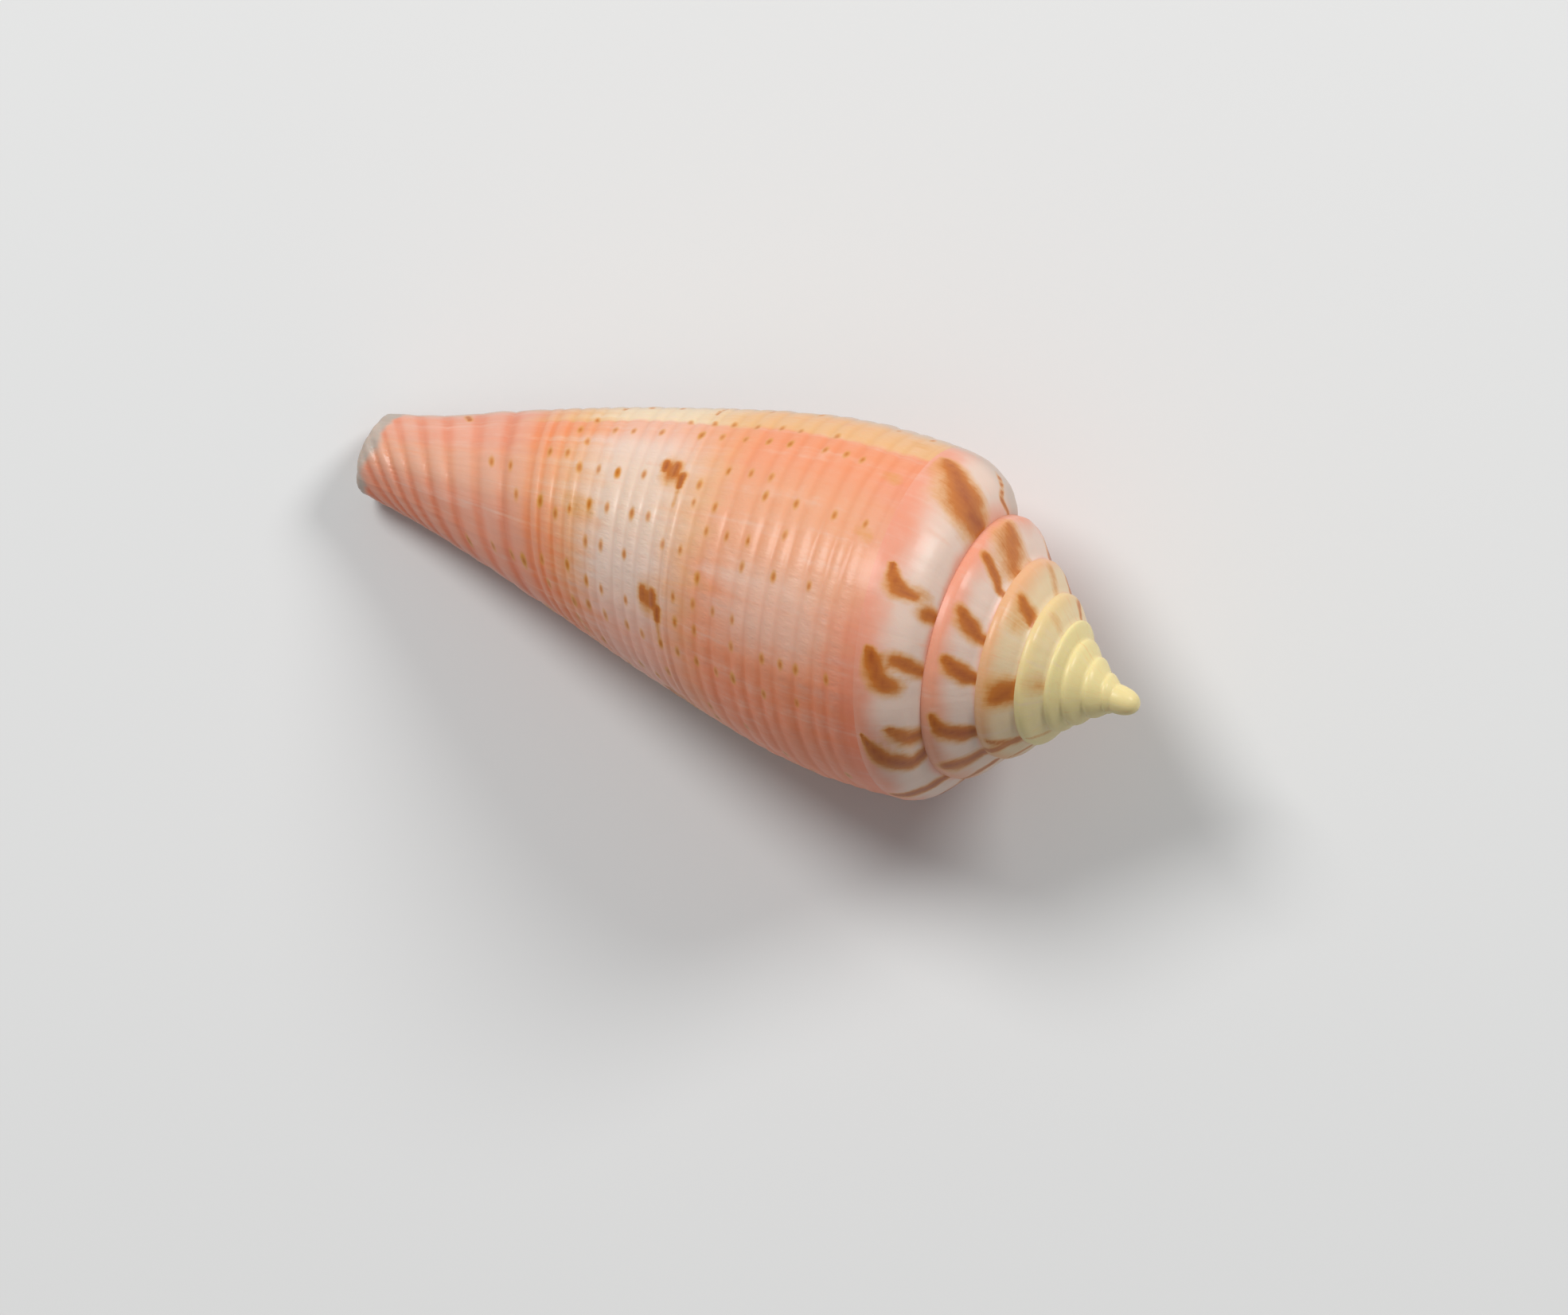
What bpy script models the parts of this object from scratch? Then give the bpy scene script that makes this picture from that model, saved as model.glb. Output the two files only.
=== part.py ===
# Cone shell with a low stepped spire, a spirally corded body and a long slit mouth.
# The whole surface follows one growth spiral: age is counted in turns, 0 at the lip and
# negative toward the tip, and a row number says how far down the whorl a point lies.

import math

import bmesh
import bpy
import numpy as np
from mathutils import Matrix, Vector

MM = 0.001

COLUMNS_PER_TURN = 32
SPIRE_TURNS = 8
RAMP_ROWS = 5

# growth of the whorl radius per turn, and how it slows
GROWTH = 0.287
GROWTH_SLOWING = 0.002

# the line where each whorl meets the one before it: age, radius and depth below the tip,
# carried on for one turn past the lip so that the last shoulder can start from it
SUTURE = (
    (-7.0, 0.55, 0.86),
    (-6.5, 0.65, 1.04),
    (-6.0, 0.82, 1.37),
    (-5.5, 1.01, 1.68),
    (-5.0, 1.22, 1.96),
    (-4.5, 1.50, 2.28),
    (-4.0, 1.70, 2.60),
    (-3.5, 1.93, 2.81),
    (-3.0, 2.25, 3.06),
    (-2.5, 2.67, 3.58),
    (-2.0, 3.03, 4.00),
    (-1.5, 3.52, 4.73),
    (-1.0, 3.99, 5.23),
    (-0.5, 4.72, 6.31),
    (0.0, 5.22, 6.84),
    (1.0, 7.00, 8.46),
)
FIRST_SIZE_SLOPE = 0.34
FIRST_DEPTH_SLOPE = 0.38
TIP_OFFSET = 0.37
LAST_WHORL_DROP = 0.42

# the spire leans a little to one side toward its tip
LEAN = 0.17
LEAN_DEPTH = 2.1

# rounded step from the suture out to the shoulder, on the spire and at the lip: how late it
# turns outward, how late it turns down, and the share of its fall that is an upright band
SHOULDER_RADIUS = 7.00
SHOULDER_REACH = 8.93
SPIRE_STEP = (2.50, 1.42, 0.21)
LAST_STEP = (1.20, 1.08, 0.06)

# side of the body whorl at the lip, as distance from the tip and radius
BODY_PROFILE = (
    (9.98, 7.02),
    (11.74, 6.99),
    (13.80, 6.78),
    (16.15, 6.33),
    (18.79, 5.69),
    (21.43, 4.98),
    (24.08, 4.18),
    (26.72, 3.31),
    (29.36, 2.41),
    (31.86, 1.86),
    (34.35, 1.52),
    (36.99, 1.15),
    (39.64, 0.95),
    (42.75, 0.80),
    (52.00, 0.62),
)
LENGTH = 31.8

# low swelling that winds around the front end, away from the lip
SWELLING = 0.32
SWELLING_REACH = 29.8
SWELLING_WIDTH = 3.6
SWELLING_STARTS = 0.05
SWELLING_RISES_OVER = 0.4

# spiral cords: where each zone of equal spacing starts, the spacing, and the relief
CORD_ZONES = (
    (9.25, 0.68, 0.050),
    (24.95, 1.35, 0.110),
    (29.00, 0.97, 0.100),
    (31.90, 0.80, 0.060),
    (35.00, 1.20, 0.060),
)
CORDS_END = 50.0

# the mouth: wall thickness, how many turns the slit reaches inward along the side and at
# the canal, and the part of that way over which it keeps its width
WALL = 0.38
LIP_EDGE = 0.24
LIP_TAPER = 0.33
MOUTH_COLUMNS = 6
MOUTH_TURNS = 0.25
CANAL_TURNS = 0.52
CANAL_START = 32.0
CANAL_FULL = 43.0
MOUTH_KEEPS_WIDTH = 0.6
LEAST_GAP = 0.05

# the rounded first whorls at the tip
NIPPLE_RINGS = 3
NIPPLE_BLUNTNESS = 2.3
NIPPLE_RISE = 0.10

# how it lies: mouth down, on a small flat worn into the belly, with the front end just above
LIP_SIDE = math.radians(3.0)
REST_PITCH = math.radians(13.0)
FLAT_DEPTH = 0.07
CUT_MERGE = 0.00001

SHELL_COLOR = (0.80, 0.42, 0.28, 1.0)
SHELL_ROUGHNESS = 0.35
SHARP_EDGE = math.radians(60.0)


def clear_scene():
    for obj in list(bpy.data.objects):
        bpy.data.objects.remove(obj, do_unlink=True)


def growth(age):
    return np.exp(GROWTH * age - GROWTH_SLOWING * age * age)


def smoothstep(x):
    x = np.clip(x, 0.0, 1.0)
    return x * x * (3.0 - 2.0 * x)


def drop(age):
    """How far the last turn sinks below the regular spiral."""
    return LAST_WHORL_DROP * smoothstep(age + 1.0)


def curve_slopes(xs, ys, first):
    """Slopes for a smooth curve through the points that does not overshoot."""
    steps = np.diff(xs)
    rises = np.diff(ys) / steps
    slopes = np.zeros(len(xs))
    slopes[0] = first
    for i in range(1, len(xs) - 1):
        if rises[i - 1] * rises[i] > 0.0:
            near = 2.0 * steps[i] + steps[i - 1]
            far = steps[i] + 2.0 * steps[i - 1]
            slopes[i] = (near + far) / (near / rises[i - 1] + far / rises[i])
    slopes[-1] = rises[-1]
    return slopes


def curve(xs, ys, slopes, at):
    """Value at one place of the smooth curve through the points."""
    at = min(max(at, xs[0]), xs[-1])
    i = min(int(np.searchsorted(xs, at, side="right")) - 1, len(xs) - 2)
    span = xs[i + 1] - xs[i]
    x = (at - xs[i]) / span
    start = ys[i] * (1.0 + 2.0 * x) + span * slopes[i] * x
    end = ys[i + 1] * (3.0 - 2.0 * x) + span * slopes[i + 1] * (x - 1.0)
    return start * (1.0 - x) ** 2 + end * x ** 2


SUTURE_AGE = np.array([point[0] for point in SUTURE])
SUTURE_SIZE = np.log([point[1] for point in SUTURE])
SUTURE_DEPTH = np.array([point[2] for point in SUTURE])
SUTURE_SIZE_SLOPE = curve_slopes(SUTURE_AGE, SUTURE_SIZE, FIRST_SIZE_SLOPE)
SUTURE_DEPTH_SLOPE = curve_slopes(SUTURE_AGE, SUTURE_DEPTH, FIRST_DEPTH_SLOPE)


def suture(age):
    """Radius and depth below the tip of the line where a whorl begins."""
    size = curve(SUTURE_AGE, SUTURE_SIZE, SUTURE_SIZE_SLOPE, age)
    return math.exp(size), curve(SUTURE_AGE, SUTURE_DEPTH, SUTURE_DEPTH_SLOPE, age)


def depth_at(age, reach):
    """Depth below the tip of a place on the whorl, its reach measured at lip size."""
    return TIP_OFFSET + reach * growth(age) + drop(age)


def reach_at(age, depth):
    return (depth - TIP_OFFSET - drop(age)) / growth(age)


def step_start(age):
    """Radius and reach of the suture, measured at lip size."""
    radius, depth = suture(age)
    return radius / growth(age), reach_at(age, depth)


def shoulder(age):
    """Radius and reach of the shoulder, equal to the next suture until the last turn."""
    radius, depth = suture(age + 1.0)
    blend = smoothstep(age + 1.0)
    next_radius = radius / growth(age)
    next_reach = reach_at(age, depth)
    return (
        next_radius + (SHOULDER_RADIUS - next_radius) * blend,
        next_reach + (SHOULDER_REACH - next_reach) * blend,
    )


def step_shape(age):
    """How late the step turns outward and down, and its upright share, at an age."""
    blend = float(smoothstep(age + 1.0))
    return [spire + (last - spire) * blend for spire, last in zip(SPIRE_STEP, LAST_STEP)]


def step_point(age, turn, along_band):
    """Radius and reach on the step: an angle around its curve, then a share of its band."""
    start_radius, start_reach = step_start(age)
    end_radius, end_reach = shoulder(age)
    outward, down, band = step_shape(age)
    corner = end_reach - (end_reach - start_reach) * band
    radius = start_radius + (end_radius - start_radius) * math.sin(turn) ** outward
    reach = start_reach + (corner - start_reach) * (1.0 - abs(math.cos(turn)) ** down)
    return radius, reach + (end_reach - corner) * along_band


PROFILE_REACH = np.array([point[0] for point in BODY_PROFILE])
PROFILE_RADIUS = np.array([point[1] for point in BODY_PROFILE])
PROFILE_SLOPE = curve_slopes(PROFILE_REACH, PROFILE_RADIUS, 0.0)


def side_radius(reach):
    return curve(PROFILE_REACH, PROFILE_RADIUS, PROFILE_SLOPE, reach)


def swelling(age, reach):
    across = math.exp(-((reach - SWELLING_REACH) / SWELLING_WIDTH) ** 2)
    return SWELLING * across * float(smoothstep((-age - SWELLING_STARTS) / SWELLING_RISES_OVER))


def whorl_radius(age, reach):
    """Radius at lip size of the smooth whorl at a reach on the step or on the side."""
    step_radius, step_reach = shoulder(age)
    if reach >= PROFILE_REACH[0]:
        return side_radius(reach) + swelling(age, reach)
    if reach >= step_reach:
        rise = smoothstep((reach - step_reach) / (PROFILE_REACH[0] - step_reach))
        return step_radius + (PROFILE_RADIUS[0] - step_radius) * rise
    start_radius, start_reach = step_start(age)
    outward, down, band = step_shape(age)
    fall = (reach - start_reach) / ((step_reach - start_reach) * (1.0 - band))
    cosine = (1.0 - min(max(fall, 0.0), 1.0)) ** (1.0 / down)
    sine = math.sqrt(max(1.0 - cosine * cosine, 0.0))
    return start_radius + (step_radius - start_radius) * sine ** outward


def body_rows():
    """Reach and relief of each row down the side: a groove, a crest, a groove and so on."""
    rows = []
    ends = [zone[0] for zone in CORD_ZONES[1:]] + [CORDS_END]
    for (start, spacing, relief), end in zip(CORD_ZONES, ends):
        count = max(1, round((end - start) / spacing))
        for i in range(count):
            groove = start + (end - start) * i / count
            rows.append((groove, -relief / 2.0))
            rows.append((groove + (end - start) / count / 2.0, relief / 2.0))
    return rows


ROWS = body_rows()
TOP_ROW = RAMP_ROWS + 2
LAST_ROW = RAMP_ROWS + len(ROWS)


def turn_angle(age):
    return -math.pi / 2.0 - LIP_SIDE - 2.0 * math.pi * age


def place(age, radius, depth):
    """Point in metres: first axis up from the resting side, third toward the tip."""
    angle = turn_angle(age)
    lean = LEAN * math.exp(-(depth / LEAN_DEPTH) ** 2)
    return Vector((radius * math.cos(angle), radius * math.sin(angle) + lean, -depth)) * MM


def relief_fade(age):
    """Cords are full on the outside and fade away on the wall inside the mouth."""
    return float(smoothstep((age + 1.0 + MOUTH_TURNS / 2.0) / (MOUTH_TURNS / 2.0)))


def outer_point(age, row):
    """Point on the outside of the whorl. Row 0 is the suture and RAMP_ROWS the shoulder."""
    scale = float(growth(age))
    if row <= RAMP_ROWS:
        turn = min(row / (RAMP_ROWS - 1), 1.0) * math.pi / 2.0
        radius, reach = step_point(age, turn, max(row - RAMP_ROWS + 1, 0))
        return place(age, radius * scale, depth_at(age, reach))
    reach, relief = ROWS[row - RAMP_ROWS - 1]
    radius = whorl_radius(age, reach) + relief * relief_fade(age)
    return place(age, radius * scale, depth_at(age, reach))


def mouth_reach(row):
    """How many turns the mouth goes inward at a row: short on the side, longer at the canal."""
    reach = ROWS[row - RAMP_ROWS - 1][0]
    along = (reach - CANAL_START) / (CANAL_FULL - CANAL_START)
    return MOUTH_TURNS + (CANAL_TURNS - MOUTH_TURNS) * float(smoothstep(along))


def wall_inside(age, depth, thickness):
    """Radius of the inner face of the last whorl at a depth below the tip."""
    reach = reach_at(age, depth - thickness)
    return whorl_radius(age, reach) * float(growth(age)) - thickness


def grid_faces(bm, left, right):
    """Two triangles for each cell between equally long chains, leaving out empty ones."""
    for i in range(len(left) - 1):
        for corners in (
            (left[i], left[i + 1], right[i + 1]),
            (left[i], right[i + 1], right[i]),
        ):
            if len(set(corners)) == 3:
                bm.faces.new(corners)


def stitch(bm, left, right):
    """Triangles between two chains of different lengths, stepping down both together."""
    i = 0
    j = 0
    while i < len(left) - 1 or j < len(right) - 1:
        step_left = j == len(right) - 1 or (
            i < len(left) - 1 and left[i + 1].co.z >= right[j + 1].co.z
        )
        corners = [left[i], right[j], left[i + 1] if step_left else right[j + 1]]
        if len(set(corners)) == 3:
            bm.faces.new(corners)
        if step_left:
            i += 1
        else:
            j += 1


def add_outside(bm):
    """The ribbon of spire whorls and the whole last whorl, as columns of vertices."""
    first = -SPIRE_TURNS * COLUMNS_PER_TURN
    columns = {}
    for step in range(first, 1):
        age = step / COLUMNS_PER_TURN
        earlier = columns.get(step - COLUMNS_PER_TURN)
        column = [earlier[RAMP_ROWS] if earlier else bm.verts.new(outer_point(age, 0))]
        for row in range(1, (LAST_ROW if step >= -COLUMNS_PER_TURN else RAMP_ROWS) + 1):
            column.append(column[0] if step == first else bm.verts.new(outer_point(age, row)))
        columns[step] = column
        if step > first:
            count = min(len(column), len(columns[step - 1]))
            grid_faces(bm, columns[step - 1][:count], column[:count])
    return columns


def add_nipple(bm, columns):
    """Rounded tip that closes the start of the ribbon."""
    steps = range(-SPIRE_TURNS * COLUMNS_PER_TURN, (1 - SPIRE_TURNS) * COLUMNS_PER_TURN)
    ring = [columns[step][0] for step in steps]
    radius, depth = suture(1 - SPIRE_TURNS)
    for i in range(1, NIPPLE_RINGS + 1):
        rise = i / (NIPPLE_RINGS + 1)
        shrink = (1.0 - rise ** NIPPLE_BLUNTNESS) ** (1.0 / NIPPLE_BLUNTNESS)
        height = depth - (depth + NIPPLE_RISE) * rise
        ages = [step / COLUMNS_PER_TURN for step in steps]
        inner = [bm.verts.new(place(age, radius * shrink, height)) for age in ages]
        grid_faces(bm, inner + inner[:1], ring + ring[:1])
        ring = inner
    tip = bm.verts.new(place(0.0, 0.0, -NIPPLE_RISE))
    for i in range(len(ring)):
        bm.faces.new((tip, ring[(i + 1) % len(ring)], ring[i]))


def add_mouth(bm, columns):
    """The slit behind the lip: the wall of the turn before, and the inner face of the last."""
    rows = range(TOP_ROW, LAST_ROW + 1)
    floor = [columns[-COLUMNS_PER_TURN][TOP_ROW:]]
    roof = []
    for i in range(MOUTH_COLUMNS):
        inward = i / MOUTH_COLUMNS
        if i > 0:
            floor.append([bm.verts.new(mouth_floor(inward, row)) for row in rows])
        above = [bm.verts.new(mouth_roof(inward, row)) for row in rows[1:]]
        roof.append(floor[i][:1] + above)
    floor.append([bm.verts.new(mouth_floor(1.0, row)) for row in rows])
    roof.append(floor[-1])
    for i in range(MOUTH_COLUMNS):
        grid_faces(bm, floor[i + 1], floor[i])
        grid_faces(bm, roof[i], roof[i + 1])
    on_belly = columns[-COLUMNS_PER_TURN][RAMP_ROWS:TOP_ROW]
    stitch(bm, columns[0], on_belly + roof[0])


def mouth_floor(inward, row):
    return outer_point(-1.0 - inward * mouth_reach(row), row)


def mouth_roof(inward, row):
    """Inner face of the last whorl, closing on the floor at the deep end of the slit."""
    floor = mouth_floor(inward, row)
    depth = -floor.z / MM
    age = -inward * mouth_reach(row)
    thickness = LIP_EDGE + (WALL - LIP_EDGE) * min(inward / LIP_TAPER, 1.0)
    closing = 1.0 - smoothstep((inward - MOUTH_KEEPS_WIDTH) / (1.0 - MOUTH_KEEPS_WIDTH))
    low = math.hypot(floor.x, floor.y) / MM
    high = max(wall_inside(age, depth, thickness), low + LEAST_GAP)
    return place(age, low + (high - low) * float(closing), depth)


def cut_flat(bm, point, outward):
    """Removes what lies beyond a plane and closes the cut."""
    everything = bm.verts[:] + bm.edges[:] + bm.faces[:]
    bmesh.ops.bisect_plane(
        bm, geom=everything, dist=1e-7, plane_co=point, plane_no=outward, clear_outer=True
    )
    rim = [edge for edge in bm.edges if edge.is_boundary]
    bmesh.ops.triangle_fill(bm, use_beauty=True, edges=rim, normal=outward)
    bmesh.ops.dissolve_degenerate(bm, dist=CUT_MERGE, edges=bm.edges[:])
    for vert in bm.verts:
        height = (vert.co - point).dot(outward)
        if abs(height) < CUT_MERGE:
            vert.co -= outward * height


def rest_matrix():
    """Tip toward +X, resting side down, tip end raised by the pitch."""
    lay = Matrix(((0.0, 0.0, 1.0), (0.0, -1.0, 0.0), (1.0, 0.0, 0.0))).to_4x4()
    pitch = Matrix.Rotation(-REST_PITCH, 4, "Y")
    return pitch @ lay


def belly_height(bm):
    """Lowest point of the belly, leaving out the front end."""
    middle = [vert.co.z for vert in bm.verts if vert.co.x > -LENGTH * MM / 2.0]
    return min(middle)


def centre_on_floor(bm):
    low = [min(vert.co[i] for vert in bm.verts) for i in range(3)]
    high = [max(vert.co[i] for vert in bm.verts) for i in range(3)]
    shift = Vector((-(low[0] + high[0]) / 2.0, -(low[1] + high[1]) / 2.0, -low[2]))
    bmesh.ops.translate(bm, verts=bm.verts[:], vec=shift)


def shell_mesh():
    bm = bmesh.new()
    columns = add_outside(bm)
    add_nipple(bm, columns)
    add_mouth(bm, columns)
    cut_flat(bm, Vector((0.0, 0.0, -LENGTH * MM)), Vector((0.0, 0.0, -1.0)))
    bmesh.ops.transform(bm, matrix=rest_matrix(), verts=bm.verts[:])
    floor = Vector((0.0, 0.0, belly_height(bm) + FLAT_DEPTH * MM))
    cut_flat(bm, floor, Vector((0.0, 0.0, -1.0)))
    centre_on_floor(bm)
    bmesh.ops.triangulate(bm, faces=bm.faces[:])
    bmesh.ops.recalc_face_normals(bm, faces=bm.faces[:])
    mesh = bpy.data.meshes.new("shell")
    bm.to_mesh(mesh)
    bm.free()
    return mesh


def shell_material():
    material = bpy.data.materials.new("corded shell")
    material.use_nodes = True
    shader = material.node_tree.nodes["Principled BSDF"]
    shader.inputs["Base Color"].default_value = SHELL_COLOR
    shader.inputs["Roughness"].default_value = SHELL_ROUGHNESS
    shader.inputs["Metallic"].default_value = 0.0
    return material


def main():
    clear_scene()
    collection = bpy.data.collections.new("cone_shell")
    bpy.context.scene.collection.children.link(collection)
    shell = bpy.data.objects.new("shell", shell_mesh())
    shell.data.materials.append(shell_material())
    collection.objects.link(shell)
    shell.data.shade_smooth()
    shell.data.set_sharp_from_angle(angle=SHARP_EDGE)


main()
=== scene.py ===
"""The look of a corded cone shell: one dense growth-spiral surface with its paint, on a pale floor."""

import math

import bpy
import numpy as np
from mathutils import Matrix, Vector


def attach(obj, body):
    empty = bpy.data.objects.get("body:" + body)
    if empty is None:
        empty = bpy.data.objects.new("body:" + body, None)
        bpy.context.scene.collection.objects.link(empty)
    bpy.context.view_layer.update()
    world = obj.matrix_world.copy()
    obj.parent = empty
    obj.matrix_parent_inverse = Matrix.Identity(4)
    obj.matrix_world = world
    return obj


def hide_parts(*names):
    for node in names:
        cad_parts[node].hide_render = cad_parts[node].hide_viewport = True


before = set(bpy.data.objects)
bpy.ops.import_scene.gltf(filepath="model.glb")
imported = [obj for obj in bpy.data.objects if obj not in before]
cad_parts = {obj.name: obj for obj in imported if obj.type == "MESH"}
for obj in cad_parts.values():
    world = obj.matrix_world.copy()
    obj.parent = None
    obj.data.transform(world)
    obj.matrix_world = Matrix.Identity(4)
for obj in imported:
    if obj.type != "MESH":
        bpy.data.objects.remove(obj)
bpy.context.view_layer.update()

MM = 0.001

# the growth spiral, with the same values as the solid but for the length: the front end is
# 0.2 mm longer here, as in the photo
SPIRE_TURNS = 8
GROWTH = 0.287
GROWTH_SLOWING = 0.002
SUTURE = (
    (-7.0, 0.55, 0.86), (-6.5, 0.65, 1.04), (-6.0, 0.82, 1.37), (-5.5, 1.01, 1.68),
    (-5.0, 1.22, 1.96), (-4.5, 1.50, 2.28), (-4.0, 1.70, 2.60), (-3.5, 1.93, 2.81),
    (-3.0, 2.25, 3.06), (-2.5, 2.67, 3.58), (-2.0, 3.03, 4.00), (-1.5, 3.52, 4.73),
    (-1.0, 3.99, 5.23), (-0.5, 4.72, 6.31), (0.0, 5.22, 6.84), (1.0, 7.00, 8.46),
)
FIRST_SIZE_SLOPE = 0.34
FIRST_DEPTH_SLOPE = 0.38
TIP_OFFSET = 0.37
LAST_WHORL_DROP = 0.42
LEAN = 0.17
LEAN_DEPTH = 2.1
SHOULDER_RADIUS = 7.00
SHOULDER_REACH = 8.93
SPIRE_STEP = (2.50, 1.42, 0.21)
LAST_STEP = (1.20, 1.08, 0.06)
BODY_PROFILE = (
    (9.98, 7.02), (11.74, 6.99), (13.80, 6.78), (16.15, 6.33), (18.79, 5.69),
    (21.43, 4.98), (24.08, 4.18), (26.72, 3.31), (29.36, 2.41), (31.86, 1.86),
    (34.35, 1.52), (36.99, 1.15), (39.64, 0.95), (42.75, 0.80), (52.00, 0.62),
)
LENGTH = 32.0
SWELLING = 0.32
SWELLING_REACH = 29.8
SWELLING_WIDTH = 3.6
SWELLING_STARTS = 0.05
SWELLING_RISES_OVER = 0.4
WALL = 0.38
LIP_TAPER = 0.33
MOUTH_TURNS = 0.25
CANAL_TURNS = 0.52
CANAL_START = 32.0
CANAL_FULL = 43.0
MOUTH_KEEPS_WIDTH = 0.6
LEAST_GAP = 0.05
NIPPLE_BLUNTNESS = 2.3
NIPPLE_RISE = 0.10
LIP_SIDE = math.radians(3.0)
REST_PITCH = math.radians(13.0)
COSINE = math.cos(REST_PITCH)
SINE = math.sin(REST_PITCH)
# where the tip of the spiral's axis lies in the frame, in millimetres
AXIS_TIP = (15.6245, -0.4717, 7.9374)

# how finely the surface is cut: columns per turn from the lip back, rows across the step
FINE = 288
LEVELS = ((-8, -4, 72), (-4, -2, 144), (-2, 0, 288))
STEP_ROWS = 14
CURVE_SHARE = 0.86
NECK_ROWS = 4
ROW_HEIGHT = 0.115
FRONT_ROWS = 58
NIPPLE_RINGS = 10
MOUTH_COLUMNS = 25

# grooves between the cords, as reach at lip size, and the relief of the cords along the side
GROOVES = (
    9.16, 9.98, 10.60, 11.42, 12.39, 13.04, 13.83, 14.53, 15.50, 16.29, 16.94, 17.76, 18.14,
    18.70, 19.44, 20.05, 20.61, 21.52, 22.02, 22.70, 23.19, 23.78, 24.46, 24.96, 26.31, 27.66,
    29.01, 30.09, 31.12, 31.88, 32.59, 33.21, 34.20, 35.30, 36.40, 37.50, 38.70, 39.90, 41.20,
    42.60, 44.00,
)
FRONT_STARTS = 27.66
RELIEF = (
    (9.0, 0.030), (10.5, 0.055), (16.0, 0.050), (22.0, 0.055), (25.0, 0.065), (27.0, 0.075),
    (30.0, 0.075), (32.0, 0.070), (36.0, 0.055), (44.0, 0.050),
)


def growth(age):
    return np.exp(GROWTH * age - GROWTH_SLOWING * age * age)


def smoothstep(x):
    x = np.clip(x, 0.0, 1.0)
    return x * x * (3.0 - 2.0 * x)


def drop(age):
    return LAST_WHORL_DROP * smoothstep(age + 1.0)


def curve_slopes(xs, ys, first):
    steps = np.diff(xs)
    rises = np.diff(ys) / steps
    slopes = np.zeros(len(xs))
    slopes[0] = first
    for i in range(1, len(xs) - 1):
        if rises[i - 1] * rises[i] > 0.0:
            near = 2.0 * steps[i] + steps[i - 1]
            far = steps[i] + 2.0 * steps[i - 1]
            slopes[i] = (near + far) / (near / rises[i - 1] + far / rises[i])
    slopes[-1] = rises[-1]
    return slopes


def curve(xs, ys, slopes, at):
    """Values of the smooth curve through the points."""
    at = np.clip(at, xs[0], xs[-1])
    i = np.clip(np.searchsorted(xs, at, side="right") - 1, 0, len(xs) - 2)
    span = xs[i + 1] - xs[i]
    x = (at - xs[i]) / span
    start = ys[i] * (1.0 + 2.0 * x) + span * slopes[i] * x
    end = ys[i + 1] * (3.0 - 2.0 * x) + span * slopes[i + 1] * (x - 1.0)
    return start * (1.0 - x) ** 2 + end * x ** 2


SUTURE_AGE, SUTURE_RADIUS, SUTURE_DEPTH = np.array(SUTURE).T
SUTURE_SIZE = np.log(SUTURE_RADIUS)
SUTURE_SIZE_SLOPE = curve_slopes(SUTURE_AGE, SUTURE_SIZE, FIRST_SIZE_SLOPE)
SUTURE_DEPTH_SLOPE = curve_slopes(SUTURE_AGE, SUTURE_DEPTH, FIRST_DEPTH_SLOPE)


def suture(age):
    size = curve(SUTURE_AGE, SUTURE_SIZE, SUTURE_SIZE_SLOPE, age)
    return np.exp(size), curve(SUTURE_AGE, SUTURE_DEPTH, SUTURE_DEPTH_SLOPE, age)


def depth_at(age, reach):
    return TIP_OFFSET + reach * growth(age) + drop(age)


def reach_at(age, depth):
    return (depth - TIP_OFFSET - drop(age)) / growth(age)


def step_start(age):
    """Radius and reach of the suture at lip size."""
    radius, depth = suture(age)
    return radius / growth(age), reach_at(age, depth)


def shoulder(age):
    radius, depth = suture(age + 1.0)
    blend = smoothstep(age + 1.0)
    next_radius = radius / growth(age)
    next_reach = reach_at(age, depth)
    return (
        next_radius + (SHOULDER_RADIUS - next_radius) * blend,
        next_reach + (SHOULDER_REACH - next_reach) * blend,
    )


def step_shape(age):
    """How late the step turns outward and down, and its upright share, at an age."""
    blend = smoothstep(age + 1.0)
    return [spire + (last - spire) * blend for spire, last in zip(SPIRE_STEP, LAST_STEP)]


def step_point(age, across):
    """Radius and reach at a share of the way over the step: its curve, then its band."""
    start_radius, start_reach = step_start(age)
    end_radius, end_reach = shoulder(age)
    outward, down, band = step_shape(age)
    turn = np.clip(across / CURVE_SHARE, 0.0, 1.0) * math.pi / 2.0
    corner = end_reach - (end_reach - start_reach) * band
    radius = start_radius + (end_radius - start_radius) * np.sin(turn) ** outward
    reach = start_reach + (corner - start_reach) * (1.0 - np.abs(np.cos(turn)) ** down)
    below = np.clip((across - CURVE_SHARE) / (1.0 - CURVE_SHARE), 0.0, 1.0)
    return radius, reach + (end_reach - corner) * below


PROFILE_REACH, PROFILE_RADIUS = np.array(BODY_PROFILE).T
PROFILE_SLOPE = curve_slopes(PROFILE_REACH, PROFILE_RADIUS, 0.0)


def side_radius(reach):
    return curve(PROFILE_REACH, PROFILE_RADIUS, PROFILE_SLOPE, reach)


def swelling(age, reach):
    across = np.exp(-((reach - SWELLING_REACH) / SWELLING_WIDTH) ** 2)
    return SWELLING * across * smoothstep((-age - SWELLING_STARTS) / SWELLING_RISES_OVER)


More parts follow.
